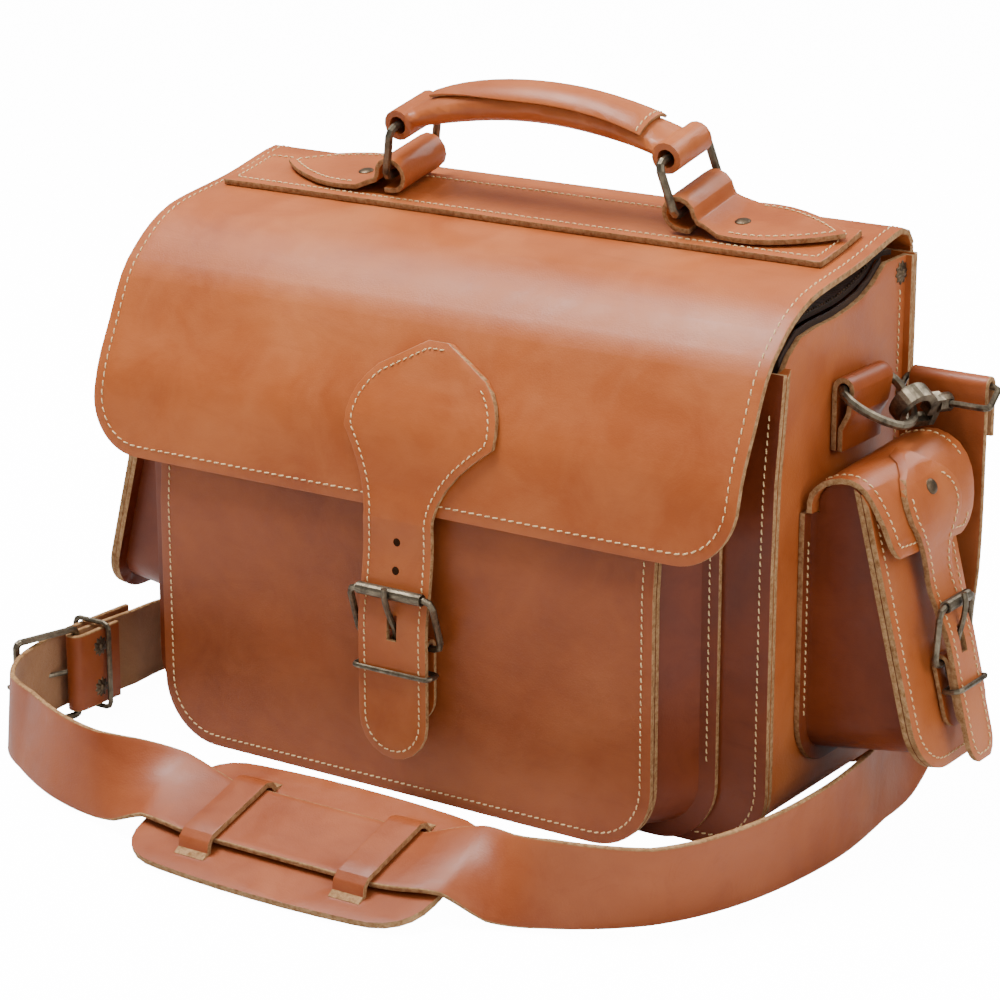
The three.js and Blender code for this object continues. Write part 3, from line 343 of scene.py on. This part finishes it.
def ripple(place, seed=0.0):
    """A slow, smooth wobble of a hand-cut leather sheet, between -1 and 1."""
    x, y, z = place
    return (
        math.sin(21 * x + 13 * y + 17 * z + seed)
        + 0.6 * math.sin(37 * x - 29 * y + 41 * z + 2.3 * seed)
        + 0.4 * math.sin(-61 * x + 53 * y + 67 * z + 0.7 * seed)
    ) / 2.0


def rippled(place, node=""):
    """Where the leather's ripple carries a point of a node. Pieces that metal nearly touches stay calm."""
    if node.startswith(CALM):
        return place.copy()
    return place + Vector((1, -1, 1)).normalized() * WOBBLE * ripple(place)


def classed(node, edges=True):
    """A working copy of a CAD sheet in which the cut edges have material 1 and the broad faces 0."""
    mesh = bmesh.new()
    mesh.from_mesh(NODES[node].data)
    bmesh.ops.remove_doubles(mesh, verts=mesh.verts, dist=0.01 * MM)
    mesh.normal_update()
    tree = BVHTree.FromBMesh(mesh)
    limit = THIN_STRAP if node.startswith(CALM) else THIN
    for face in mesh.faces:
        start = face.calc_center_median() - face.normal * 0.02 * MM
        behind = tree.ray_cast(start, -face.normal)[3]
        face.material_index = 1 if edges and (behind is None or behind > limit) else 0
    return mesh, tree


def cut_into_cells(mesh, node, cell):
    """Slices a mesh along a grid of planes, so that its flat faces can ripple."""
    low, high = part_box(node)
    for axis in range(3):
        normal = Vector([1.0 if k == axis else 0.0 for k in range(3)])
        count = int((high[axis] - low[axis]) / cell)
        for i in range(1, count + 1):
            place = low[axis] + (high[axis] - low[axis]) * i / (count + 1)
            geometry = mesh.verts[:] + mesh.edges[:] + mesh.faces[:]
            bmesh.ops.bisect_plane(mesh, geom=geometry, plane_co=normal * place, plane_no=normal, dist=1e-6)


def leather_piece(node, material, bevel=SKIN_BEVEL, cell=SKIN_CELL, edges=True):
    """The visible leather of a CAD sheet: raw cut edges, eased corners and a slight ripple."""
    mesh = classed(node, edges)[0]
    bmesh.ops.dissolve_limit(
        mesh, angle_limit=math.radians(0.6), verts=mesh.verts, edges=mesh.edges, delimit={"MATERIAL"}
    )
    sharp = [e for e in mesh.edges if len(e.link_faces) == 2 and e.calc_face_angle(0) > math.radians(38)]
    if bevel > 0 and sharp:
        bmesh.ops.bevel(
            mesh, geom=sharp, offset=bevel, segments=2, profile=0.6, affect="EDGES", clamp_overlap=True,
            material=-1,
        )
    cut_into_cells(mesh, node, cell)
    mesh.normal_update()
    wear = mesh.verts.layers.float.new("wear")
    for vertex in mesh.verts:
        kinds = {face.material_index for face in vertex.link_faces}
        vertex[wear] = 1.0 if len(kinds) > 1 else 0.0
    for vertex in mesh.verts:
        vertex.co = rippled(vertex.co, node)
    mesh.normal_update()
    piece = make_object(node + "_leather", mesh, BODY[node], [material, EDGE])
    smooth_by_angle(piece)
    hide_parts(node)
    return piece


def smooth_by_angle(piece, degrees=32):
    piece.data.set_sharp_from_angle(angle=math.radians(degrees))


def painted(node, material):
    """Shows a CAD node as it is, with one of the materials above."""
    shown = NODES[node]
    shown.data.materials.clear()
    shown.data.materials.append(material)
    shown.data.polygons.foreach_set("use_smooth", [True] * len(shown.data.polygons))
    shown.data.set_sharp_from_angle(angle=math.radians(METAL_SMOOTH))


# ---- Stitches and rivets ---------------------------------------------------------------------


def resampled(points, pitch, extras):
    """Points evenly spaced along a polyline, with the vector in extras carried along at each of them."""
    points = [Vector(p) for p in points]
    extras = [Vector(e) for e in extras]
    lengths = [(b - a).length for a, b in zip(points, points[1:])]
    count = max(2, round(sum(lengths) / pitch))
    step = sum(lengths) / count
    out, i, used = [(points[0].copy(), extras[0])], 0, 0.0
    for k in range(1, count + 1):
        want = k * step
        while i < len(lengths) - 1 and used + lengths[i] < want:
            used += lengths[i]
            i += 1
        share = 0 if lengths[i] == 0 else min(1.0, (want - used) / lengths[i])
        out.append((points[i].lerp(points[i + 1], share), extras[i].lerp(extras[i + 1], share).normalized()))
    return out


# Along a stitch: the share of its length, its lift off the leather and its size, both in thread radii.
STITCH_PROFILE = ((0.0, -0.9, 0.5), (0.12, 0.15, 0.9), (0.5, 0.45, 1.0), (0.88, 0.15, 0.9), (1.0, -0.9, 0.5))


def capsule(mesh, start, end, up, radius):
    """A thread between two holes: it rises from one hole, crosses the leather and dives again."""
    way = (end - start).normalized()
    across = way.cross(up).normalized()
    rings = []
    for share, lift, size in STITCH_PROFILE:
        centre = start.lerp(end, share) + up * lift * radius
        rings.append([
            mesh.verts.new(
                centre
                + across * math.cos(2 * math.pi * k / THREAD_SIDES) * radius * size
                + up * math.sin(2 * math.pi * k / THREAD_SIDES) * radius * size
            )
            for k in range(THREAD_SIDES)
        ])
    for a, b in zip(rings, rings[1:]):
        for k in range(THREAD_SIDES):
            following = (k + 1) % THREAD_SIDES
            mesh.faces.new((a[k], a[following], b[following], b[k]))
    mesh.faces.new(rings[0][::-1])
    mesh.faces.new(rings[-1])


def onto(tree, point, inward, reach=0.03):
    """Where a line dropped along inward from outside point meets the leather, with its normal."""
    place, normal = tree.ray_cast(point - inward * reach, inward, 3 * reach)[:2]
    if place is None:
        return None
    return place, (normal if normal.dot(inward) < 0 else -normal)


def stitch_rows(name, body, node, rows, pitch=STITCH_PITCH, skin=None):
    """Sews rows onto the CAD faces of a node. A row is its points and their inward directions."""
    tree = tree_of(node)
    mesh = bmesh.new()
    gap = 0.5 - 0.5 * STITCH_SHARE
    for points, inwards in rows:
        if isinstance(inwards, tuple):
            inwards = [inwards] * len(points)
        places = resampled(points, pitch, inwards)
        for (a, way_a), (b, way_b) in zip(places, places[1:]):
            first = onto(tree, a.lerp(b, gap), way_a)
            last = onto(tree, a.lerp(b, 1 - gap), way_b)
            if first is None or last is None or (first[0] - last[0]).length > 2 * pitch:
                continue
            up = (first[1] + last[1]).normalized()
            slant = (last[0] - first[0]).cross(up).normalized() * 0.6 * THREAD
            lift = up * 0.12 * MM
            start = rippled(first[0], node) + slant + lift
            end = rippled(last[0], node) - slant + lift
            capsule(mesh, start, end, up, THREAD)
    piece = make_object(name, mesh, body, [skin or THREAD_CREAM])
    return piece


def chains_of(edges):
    """Orders loose edges into chains of vertices."""
    links = {}
    for edge in edges:
        a, b = edge.verts
        links.setdefault(a, []).append(b)
        links.setdefault(b, []).append(a)
    chains, left = [], {frozenset(e.verts) for e in edges}
    ends = [v for v in links if len(links[v]) != 2] + list(links)
    for start in sorted(ends, key=lambda v: (len(links[v]) == 2, v.index)):
        for following in links[start]:
            if frozenset((start, following)) not in left:
                continue
            chain = [start, following]
            left.discard(frozenset((start, following)))
            while len(links[chain[-1]]) == 2:
                options = [v for v in links[chain[-1]] if frozenset((v, chain[-1])) in left]
                if not options:
                    break
                left.discard(frozenset((options[0], chain[-1])))
                chain.append(options[0])
            chains.append(chain)
    return chains


def bridged(rows):
    """Joins rows whose ends nearly meet, so that a seam runs on round a corner."""
    rows = list(rows)
    i = 0
    while i < len(rows):
        here, ways = rows[i]
        merged = None
        for j in range(i + 1, len(rows)):
            points, others = rows[j]
            for there, other in ((points, others), (points[::-1], others[::-1])):
                if (here[-1] - there[0]).length < ROW_BRIDGE:
                    merged = (j, (here + there, ways + other))
                elif (there[-1] - here[0]).length < ROW_BRIDGE:
                    merged = (j, (there + here, other + ways))
        if merged is None:
            i += 1
            continue
        rows[i] = merged[1]
        del rows[merged[0]]
    return rows


def cut_edges(mesh, facing):
    """Edges where the broad side towards facing meets the cut edge, with each one's inward way and normal."""
    border, sides_of = [], {}
    for edge in mesh.edges:
        if len(edge.link_faces) != 2:
            continue
        kinds = {f.material_index: f for f in edge.link_faces}
        if len(kinds) == 2 and kinds[0].normal.dot(facing) > 0.12:
            border.append(edge)
            sides_of[frozenset(edge.verts)] = (-kinds[1].normal, kinds[0].normal.copy())
    return border, sides_of


def rim_samples(mesh, facing):
    """Samples along each run of cut edge, as place, inward way and normal. Slots are left out."""
    border, sides_of = cut_edges(mesh, facing)
    rows = []
    for chain in chains_of(border):
        length = sum((b.co - a.co).length for a, b in zip(chain, chain[1:]))
        if length < (SLOT_ROUND if chain[0] is chain[-1] else SHORTEST_ROW):
            continue
        row = []
        for a, b in zip(chain, chain[1:]):
            way, normal = sides_of[frozenset((a, b))]
            count = max(1, round((b.co - a.co).length / SEW_SAMPLE))
            row += [(a.co.lerp(b.co, (k + 0.5) / count), way, normal) for k in range(count)]
        rows.append(row)
    return rows


def moved_inside(tree, sample, inset, rim, keep):
    """A rim sample moved inset away from its edge, or None where no row can run."""
    place, way, normal = sample
    way = (way - normal * way.dot(normal)).normalized()
    hit = onto(tree, place + way * inset, -normal, 6 * MM)
    if hit is None:
        return None
    if min((hit[0] - p).length for p in rim) < CORNER_SHARE * inset:
        return None
    return None if keep and not keep(hit[0]) else hit[0]


def border_rows(node, facing, inset=INSET, keep=None):
    """Rows that follow a CAD sheet's cut edge at a fixed distance inside it, on its side towards facing."""
    mesh, tree = classed(node)
    mesh.verts.index_update()
    rows = rim_samples(mesh, Vector(facing).normalized())
    mesh.free()
    rim = [place for row in rows for place, _, _ in row]
    out = []
    for row in rows:
        run = []
        for sample in row + [None]:
            moved = moved_inside(tree, sample, inset, rim, keep) if sample else None
            if moved is not None:
                run.append((moved, -sample[2]))
                continue
            if len(run) * SEW_SAMPLE > SHORTEST_ROW:
                out.append(([p for p, _ in run], [n for _, n in run]))
            run = []
    return bridged(out)


def dome(mesh, centre, up, radius, height, rings=4, sides=20, petals=0):
    """A rivet head, plain or with petals round it."""
    side = up.orthogonal().normalized()
    other = up.cross(side)
    loops = []
    for i in range(rings + 1):
        angle = 0.5 * math.pi * i / (rings + 1)
        loop = []
        for k in range(sides):
            turn = 2 * math.pi * k / sides
            wave = 1 + (0.16 * math.cos(petals * turn) if petals else 0)
            out = radius * math.cos(angle) * wave
            rise = height * math.sin(angle)
            round_it = side * out * math.cos(turn) + other * out * math.sin(turn)
            loop.append(mesh.verts.new(centre + round_it + up * rise))
        loops.append(loop)
    for a, b in zip(loops, loops[1:]):
        for k in range(sides):
            mesh.faces.new((a[k], a[(k + 1) % sides], b[(k + 1) % sides], b[k]))
    top = mesh.verts.new(centre + up * height)
    for k in range(sides):
        mesh.faces.new((loops[-1][k], loops[-1][(k + 1) % sides], top))
    mesh.faces.new(loops[0][::-1])


def rivet(name, body, centre, up, radius=4.2 * MM, height=1.3 * MM, petals=0):
    mesh = bmesh.new()
    up = Vector(up).normalized()
    dome(mesh, Vector(centre) - up * 0.2 * MM, up, radius, height, sides=48 if petals else 24, petals=petals)
    if petals:
        dome(mesh, Vector(centre) + up * height * 0.5, up, radius * 0.38, height * 0.9)
    piece = make_object(name, mesh, body, [BRASS_DARK])
    return piece


# ---- The bag's leather -----------------------------------------------------------------------

SHEETS = {
    "back_panel": LEATHER,
    "front_panel": SHADED,
    "main_gusset": LEATHER,
    # the pocket's front gets the darker leather above, as painted shade
    "pocket_panel": SHADED_POCKET,
    "pocket_gusset": SHADED,
    "flap": LEATHER,
    "flap_sewn_edge": LEATHER,
    "front_strap": LEATHER,
    "handle_plate": LEATHER,
    "handle_tab_right": LEATHER,
    "handle_tab_left": LEATHER,
    "handle_strip": LEATHER,
}
SIDE_SHEETS = {
    "side_gusset": SHADED,
    "side_panel": LEATHER,
    "side_flap": LEATHER,
    "side_strap": LEATHER,
    "side_tab": TAB_SKIN,
    "ring_chape": TAB_SKIN,
}

for node, material in SHEETS.items():
    leather_piece(node, material)
leather_piece("front_tab", TAB_SKIN, cell=5 * MM)
leather_piece("handle_grip", LEATHER, edges=False, bevel=0, cell=6 * MM)
leather_piece("strap_pad", STRAP_SKIN)
for side, _ in SIDES:
    for kind, material in SIDE_SHEETS.items():
        leather_piece(f"{kind}_{side}", material, cell=6 * MM)

METAL_WORDS = ("frame", "roller", "prong", "keeper", "ring_right", "ring_left", "ring_d", "hook", "slider")
for node in NODES:
    if any(word in node for word in METAL_WORDS):
        painted(node, BRASS)
for node in ("zip_tape", "zip_lid"):
    painted(node, TAPE)
for node in ("insert_tray", "insert_divider"):
    painted(node, LINING)

# ---- Sewing ----------------------------------------------------------------------------------


def on_petal(place):
    """Only the flat, pointed end of a handle tab is sewn, not the fold round its ring."""
    return abs(place.x) > 0.102


def sewn_round(node, facing, inset=INSET, pitch=STITCH_PITCH, keep=None):
    """Sews a row inside a node's cut edge, on its side towards facing."""
    stitch_rows(node + "_stitches", BODY[node], node, border_rows(node, facing, inset, keep), pitch)


sewn_round("flap", (0, -0.6, 0.8), pitch=FLAP_PITCH)
sewn_round("flap_sewn_edge", (0, 1, 0), 3.0 * MM)
sewn_round("front_strap", (0, -1, 0.2), 3.6 * MM)
sewn_round("handle_plate", (0, -0.2, 1), 4.4 * MM)
sewn_round("handle_strip", (0, -0.2, 1), 2.6 * MM)
sewn_round("back_panel", (0, 1, 0))
sewn_round("front_panel", (0, -1, 0), keep=lambda place: place.z < 0.20)
sewn_round("pocket_panel", (0, -1, 0), keep=lambda place: place.z < 0.157)
for side, way in SIDES:
    sewn_round(f"handle_tab_{side}", (0, -0.2, 1), 3.6 * MM, keep=on_petal)
    sewn_round(f"side_panel_{side}", (way, 0, 0), 4.4 * MM)
    sewn_round(f"side_flap_{side}", (way, 0, 0.8), 4.4 * MM)
    sewn_round(f"side_strap_{side}", (way, 0, 0.8), 3.2 * MM)


def upright_row(x, y, low, high, inward):
    """A row from one height to another, whose thread is dropped onto the leather along inward."""
    return [(x, y, low), (x, y, high)], inward


for side, way in SIDES:
    inward = (-way, 0, 0)
    stitch_rows(
        f"side_wall_stitches_{side}", "bag", "main_gusset",
        [upright_row(way * 0.166, 0.0735, 0.045, 0.232, inward)],
    )
    stitch_rows(
        f"side_flange_stitches_{side}", "bag", f"side_gusset_{side}",
        [upright_row(way * 0.169, y, 0.056, 0.148, inward) for y in (-0.0098, 0.0528)],
    )
    stitch_rows(
        f"pocket_flange_stitches_{side}", "bag", "pocket_gusset",
        [upright_row(FLAP_X + way * 0.1500, -0.0454, 0.040, 0.160, (0, 1, 0))],
    )
stitch_rows(
    "zip_teeth", BODY["zip_lid"], "zip_lid", border_rows("zip_lid", (0, 0, 1), 1.4 * MM), 2.2 * MM,
    BRASS_DARK,
)

# ---- The flap's hinge --------------------------------------------------------------------------


HINGE_LINE = [(0.0863, 0.2440), (0.0864, 0.2462), (0.0862, 0.2482), (0.0856, 0.2496), (0.0848, 0.2506)]
HINGE_HALF = 0.165          # half the hinge's length along X
HINGE_THICK = 2.9 * MM
HINGE_STEPS = 40


def flap_hinge():
    """The bend of leather from the sewn edge up to the flap."""
    line = HINGE_LINE
    mesh = bmesh.new()
    rings = []
    for i in range(HINGE_STEPS + 1):
        x = HINGE_HALF * (2 * i / HINGE_STEPS - 1)
        ring = []
        for side in (1, -1):
            for k, (y, z) in enumerate(line[::side]):
                here = k if side > 0 else len(line) - 1 - k
                low, high = Vector(line[max(here - 1, 0)]), Vector(line[min(here + 1, len(line) - 1)])
                along = (high - low).normalized()
                out = Vector((along.y, -along.x)) * 0.5 * HINGE_THICK * side
                ring.append(mesh.verts.new(rippled(Vector((x, y + out.x, z + out.y)))))
        rings.append(ring)
    count = len(rings[0])
    for a, b in zip(rings, rings[1:]):
        for k in range(count):
            mesh.faces.new((a[k], b[k], b[(k + 1) % count], a[(k + 1) % count]))
    mesh.faces.new(rings[0]).material_index = 1
    mesh.faces.new(rings[-1][::-1]).material_index = 1
    bmesh.ops.recalc_face_normals(mesh, faces=mesh.faces)
    piece = make_object("flap_hinge_leather", mesh, None, [LEATHER, EDGE])
    smooth_by_angle(piece, 40)
    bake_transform(piece)


flap_hinge()

# ---- Shoulder strap --------------------------------------------------------------------------

# The route in metres, as pairs of points on the strap's lower and upper edge.
FALL = [
    ((0.2147, 0.0663, 0.158), (0.1763, 0.0663, 0.158)),
    ((0.2125, 0.0695, 0.110), (0.1741, 0.0685, 0.110)),
    ((0.2065, 0.0735, 0.076), (0.1715, 0.0760, 0.092)),
    ((0.2000, 0.0760, 0.046), (0.1735, 0.0780, 0.0735)),
    ((0.1930, 0.0725, 0.018), (0.1790, 0.0680, 0.0535)),
    ((0.1905, 0.0545, 0.0025), (0.1835, 0.0500, 0.0395)),
    ((0.1925, 0.0245, 0.0018), (0.1900, 0.0225, 0.0388)),
]
ROUND = [
    ((0.1962, -0.0155, 0.0018), (0.1950, -0.0155, 0.0389)),
    ((0.1944, -0.0500, 0.0018), (0.1954, -0.0515, 0.0388)),
    ((0.1855, -0.0930, 0.0018), (0.1888, -0.0960, 0.0386)),
    ((0.1655, -0.1320, 0.0018), (0.1690, -0.1368, 0.0384)),
    ((0.1320, -0.1590, 0.0018), (0.1320, -0.1550, 0.0401)),
    ((0.1090, -0.1700, 0.0030), (0.1090, -0.1479, 0.0345)),
    ((0.0920, -0.1770, 0.0132), (0.0920, -0.1437, 0.0325)),
    ((0.0740, -0.1815, 0.0130), (0.0740, -0.1458, 0.0274)),
    ((0.0620, -0.1830, 0.0124), (0.0620, -0.1460, 0.0231)),
    ((0.0500, -0.1830, 0.0124), (0.0500, -0.1460, 0.0231)),
    ((0.0110, -0.1830, 0.0124), (0.0110, -0.1460, 0.0231)),
    ((-0.0280, -0.1830, 0.0124), (-0.0280, -0.1460, 0.0231)),
    ((-0.0400, -0.1830, 0.0124), (-0.0400, -0.1460, 0.0231)),
    ((-0.0670, -0.1800, 0.0132), (-0.0670, -0.1460, 0.0313)),
    ((-0.0870, -0.1760, 0.0048), (-0.0870, -0.1550, 0.0371)),
    ((-0.1060, -0.1710, 0.0018), (-0.1060, -0.1617, 0.0392)),
    ((-0.1350, -0.1630, 0.0018), (-0.1350, -0.1543, 0.0393)),
    ((-0.1690, -0.1450, 0.0018), (-0.1666, -0.1380, 0.0383)),
    ((-0.1890, -0.1305, 0.0018), (-0.1874, -0.1284, 0.0396)),
    ((-0.1966, -0.1135, 0.0036), (-0.1962, -0.1132, 0.0421)),
    ((-0.1999, -0.0960, 0.0046), (-0.1997, -0.0960, 0.0431)),
    ((-0.2027, -0.0780, 0.0048), (-0.2026, -0.0780, 0.0433)),
    ((-0.2027, -0.0280, 0.0046), (-0.2026, -0.0280, 0.0431)),
]
SHORT = [
    ((-0.1968, -0.0700, 0.0048), (-0.1968, -0.0700, 0.0433)),
    ((-0.1968, -0.0300, 0.0034), (-0.1968, -0.0300, 0.0419)),
    ((-0.2010, -0.0020, 0.0018), (-0.2006, -0.0020, 0.0391)),
] + [tuple((-x, y, z) for x, y, z in pair) for pair in reversed(FALL)]
FOLD_Y, FOLD_Z, FOLD_BEND = 0.0696, 0.195, 0.0033
BUCKLE_X, BUCKLE_Y, BUCKLE_BEND = -0.1934, -0.0765, 0.0034


def hook_fold(side):
    """The strap's end turned over a hook's loop: its short back layer, the bend and the front layer."""
    line = [(FOLD_Y + FOLD_BEND, 0.172), (FOLD_Y + FOLD_BEND, 0.184)]
    for i in range(FOLD_STEPS + 1):
        angle = math.pi * i / FOLD_STEPS
        line.append((FOLD_Y + FOLD_BEND * math.cos(angle), FOLD_Z + FOLD_BEND * math.sin(angle)))
    line.append((FOLD_Y - FOLD_BEND, 0.178))
    far, near = (0.2147, 0.1763) if side > 0 else (-0.2147, -0.1763)
    return [((far, y, z), (near, y, z)) for y, z in line]


def buckle_fold():
    """The short strap turned over the buckle's bar, from its flap on the bag's side to its start."""
    line = [(BUCKLE_X + BUCKLE_BEND, BUCKLE_Y + 0.026), (BUCKLE_X + BUCKLE_BEND, BUCKLE_Y + 0.012)]
    for i in range(FOLD_STEPS + 1):
        angle = -math.pi * i / FOLD_STEPS
        line.append((BUCKLE_X + BUCKLE_BEND * math.cos(angle), BUCKLE_Y + BUCKLE_BEND * math.sin(angle)))
    return [((x, y, 0.0048), (x, y, 0.0433)) for x, y in line]


def centripetal(points):
    """Points on a centripetal Catmull-Rom curve through points."""
    points = [Vector(p) for p in points]
    padded = [2 * points[0] - points[1], *points, 2 * points[-1] - points[-2]]
    out = []
    for i in range(1, len(padded) - 2):
        p = padded[i - 1:i + 3]
        knots = [0.0]
        for a, b in zip(p, p[1:]):
            knots.append(knots[-1] + max((b - a).length, 1e-6) ** 0.5)
        for k in range(SPAN_STEPS):
            t = knots[1] + (knots[2] - knots[1]) * k / SPAN_STEPS
            level = p
            for depth in range(1, 4):
                level = [
                    level[j] * ((knots[j + depth] - t) / (knots[j + depth] - knots[j]))
                    + level[j + 1] * ((t - knots[j]) / (knots[j + depth] - knots[j]))
                    for j in range(4 - depth)
                ]
            out.append(level[0])
    out.append(points[-1])
    return out


STRAP_CORNER = 0.7 * MM
CORNER_ANGLES = (0.0, 0.5, 1.0, 0.5 * math.pi)


def strap_section(half_width, half_thick, steps=12):
    """A strap's whole cross-section with eased corners: one side across its width, then the other back."""
    corner = STRAP_CORNER
    left_corner = [(-half_width + corner * (1 - math.cos(a)), half_thick - corner * (1 - math.sin(a)))
                   for a in CORNER_ANGLES]
    across = [(-half_width + 2 * half_width * k / steps, half_thick) for k in range(1, steps)]
    top = left_corner + across + [(-x, y) for x, y in reversed(left_corner)]
    return top + [(-x, -y) for x, y in top]


def strap_ribbon(name, pairs, skins, replaced):
    """A flat strap through pairs of edge points. skins are its grain side, flesh side and cut edges."""
    low = centripetal([p[0] for p in pairs])
    high = centripetal([p[1] for p in pairs])
    middle = [(a + b) / 2 for a, b in zip(low, high)]
    mesh = bmesh.new()
    rings = []
    section = strap_section(0.5 * STRAP, 0.5 * STRAP_THICK)
    flat = len(section) // 2
    corner = len(CORNER_ANGLES)
    for i, centre in enumerate(middle):
        way = (middle[min(i + 1, len(middle) - 1)] - middle[max(i - 1, 0)]).normalized()
        across = (high[i] - low[i]).normalized()
        out = way.cross(across).normalized()
        width = (high[i] - low[i]).length / STRAP
        wave = 0.25 * MM * ripple(centre, 3.0)
        rings.append([
            mesh.verts.new(centre + across * x * width + out * (y + wave)) for x, y in section
        ])
    for a, b in zip(rings, rings[1:]):
        for k in range(len(section)):
            face = mesh.faces.new((a[k], b[k], b[(k + 1) % len(section)], a[(k + 1) % len(section)]))
            on_side = k % flat
            if corner - 1 <= on_side < flat - corner:
                face.material_index = 0 if k >= flat else 1
            else:
                face.material_index = 2
    mesh.faces.new(rings[0]).material_index = 2
    mesh.faces.new(rings[-1][::-1]).material_index = 2
    bmesh.ops.recalc_face_normals(mesh, faces=mesh.faces)
    piece = make_object(name, mesh, "bag", skins)
    smooth_by_angle(piece, 50)
    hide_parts(*replaced)


strap_ribbon(
    "shoulder_strap_long", hook_fold(1) + FALL + ROUND, [STRAP_SKIN, SUEDE, EDGE],
    ["strap_long"],
)
strap_ribbon(
    "shoulder_strap_short", buckle_fold() + SHORT + hook_fold(-1)[::-1], [STRAP_SKIN, SUEDE, EDGE],
    ["strap_short"],
)

# ---- Rivets and holes ------------------------------------------------------------------------


def surface_point(node, start, way):
    """Where a line from start along way first meets a CAD node, with the normal that faces it."""
    way = Vector(way).normalized()
    place, normal = tree_of(node).ray_cast(Vector(start), way)[:2]
    return place, (normal if normal.dot(way) < 0 else -normal)


def hole(name, body, centre, up, radius=1.9 * MM):
    """A punched hole, shown as a dark and almost flat disc on the leather: the disc's dark colour is painted
    shade, in place of the hole's depth.
    """
    mesh = bmesh.new()
    up = Vector(up).normalized()
    dome(mesh, Vector(centre) + up * 0.05 * MM, up, radius, 0.12 * MM, rings=2, sides=20)
    piece = make_object(name, mesh, body, [HOLE])
    return piece


def flat_dark(name, colour):
    s = Shader(name)
    paler = tuple(1.8 * c for c in colour)
    s.link(s.ramp(s.noise(900.0, 3.0), [(0.3, colour), (0.7, paler)]), s.bsdf.inputs["Base Color"])
    s.set(Roughness=0.95, Specular_IOR_Level=0.05)
    return s.material


# Painted shade: the near-black colour of a punched hole's inside.
HOLE = flat_dark("punched_hole", (0.020, 0.008, 0.003))

for i, z in enumerate((0.1235, 0.1105)):
    place, up = surface_point("front_strap", (CLOSURE_X, -0.2, z), (0, 1, 0))
    hole(f"front_strap_hole_{i}", "flap", place, up)
for side, way in SIDES:
    place, up = surface_point(f"side_strap_{side}", (way * 0.3, SIDE_Y, 0.1610), (-way, 0, 0))
    rivet(f"side_strap_rivet_{side}", f"side_flap_{side}", place, up, 3.6 * MM)
    place, up = surface_point("main_gusset", (way * 0.3, 0.0745, 0.2390), (-way, 0, 0))
    rivet(f"gusset_rivet_{side}", "bag", rippled(place), up, 5.0 * MM, 1.6 * MM, petals=10)
    place, up = surface_point(f"handle_tab_{side}", (way * 0.1035, TAB_Y, 0.4), (0, 0, -1))
    rivet(f"handle_tab_rivet_{side}", "flap", rippled(place), up, 3.8 * MM)
for i, z in enumerate((0.0135, 0.0345)):
    place = (BUCKLE_X + BUCKLE_BEND + 0.5 * STRAP_THICK, BUCKLE_Y + 0.0118, z)
    rivet(f"strap_rivet_{i}", "bag", place, (1, 0, 0), 4.6 * MM, 1.4 * MM, petals=10)

# ---- Floor and light -------------------------------------------------------------------------

FLOOR_GLOW = 14.0           # makes the floor white to the camera without lighting the bag from below
FLOOR_HALF = 6.0
FLOOR_DROP = 0.2 * MM       # keeps the floor below the rippled underside of the bag


def make_stage():
    mesh = bmesh.new()
    bmesh.ops.create_grid(mesh, x_segments=2, y_segments=2, size=FLOOR_HALF)
    for vertex in mesh.verts:
        vertex.co.z = -FLOOR_DROP
    data = bpy.data.meshes.new("floor")
    mesh.to_mesh(data)
    mesh.free()
    s = Shader("floor_white")
    white = s.ramp(s.noise(2.0, 2.0), [(0.0, (0.66, 0.66, 0.66)), (1.0, (0.70, 0.70, 0.70))])
    s.link(white, s.bsdf.inputs["Base Color"])
    s.set(Roughness=0.9, Specular_IOR_Level=0.1)
    s.bsdf.inputs["Emission Color"].default_value = (1, 1, 1, 1)
    seen = s.add("ShaderNodeLightPath").outputs["Is Camera Ray"]
    s.link(s.grey(seen, 0.0, FLOOR_GLOW), s.bsdf.inputs["Emission Strength"])
    data.materials.append(s.material)
    floor = bpy.data.objects.new("floor", data)
    bpy.context.scene.collection.objects.link(floor)


def area_light(name, place, target, size, power):
    data = bpy.data.lights.new(name, "AREA")
    data.shape, data.size, data.energy = "DISK", size, power
    lamp = bpy.data.objects.new(name, data)
    lamp.location = place
    lamp.rotation_euler = (Vector(target) - Vector(place)).to_track_quat("-Z", "Y").to_euler()
    bpy.context.scene.collection.objects.link(lamp)


def make_world():
    """A white room: the light comes mostly from above, and the camera sees plain white."""
    world = bpy.data.worlds.new("world")
    world.use_nodes = True
    tree = world.node_tree
    backdrop = tree.nodes["Background"]
    backdrop.inputs["Color"].default_value = (1, 1, 1, 1)
    backdrop.inputs["Strength"].default_value = 3 * FLOOR_GLOW
    room = tree.nodes.new("ShaderNodeBackground")
    room.inputs["Strength"].default_value = 0.66
    place = tree.nodes.new("ShaderNodeTexCoord")
    height = tree.nodes.new("ShaderNodeSeparateXYZ")
    ramp = tree.nodes.new("ShaderNodeValToRGB")
    ramp.color_ramp.elements[0].color = (0.20, 0.20, 0.20, 1)
    ramp.color_ramp.elements[1].color = (1, 1, 1, 1)
    ramp.color_ramp.elements[1].position = 0.75
    seen = tree.nodes.new("ShaderNodeLightPath")
    mix = tree.nodes.new("ShaderNodeMixShader")
    tree.links.new(place.outputs["Generated"], height.inputs[0])
    tree.links.new(height.outputs["Z"], ramp.inputs["Fac"])
    tree.links.new(ramp.outputs["Color"], room.inputs["Color"])
    tree.links.new(seen.outputs["Is Camera Ray"], mix.inputs["Fac"])
    tree.links.new(room.outputs[0], mix.inputs[1])
    tree.links.new(backdrop.outputs[0], mix.inputs[2])
    tree.links.new(mix.outputs[0], tree.nodes["World Output"].inputs["Surface"])
    bpy.context.scene.world = world


def make_light():
    middle = (0, 0, 0.12)
    area_light("key", (-0.7, -0.28, 2.2), middle, 1.1, 88)
    area_light("fill", (1.9, -0.35, 1.3), middle, 1.6, 27)
    area_light("rim", (0.5, 1.4, 1.6), middle, 1.0, 20)


make_stage()
make_world()
make_light()
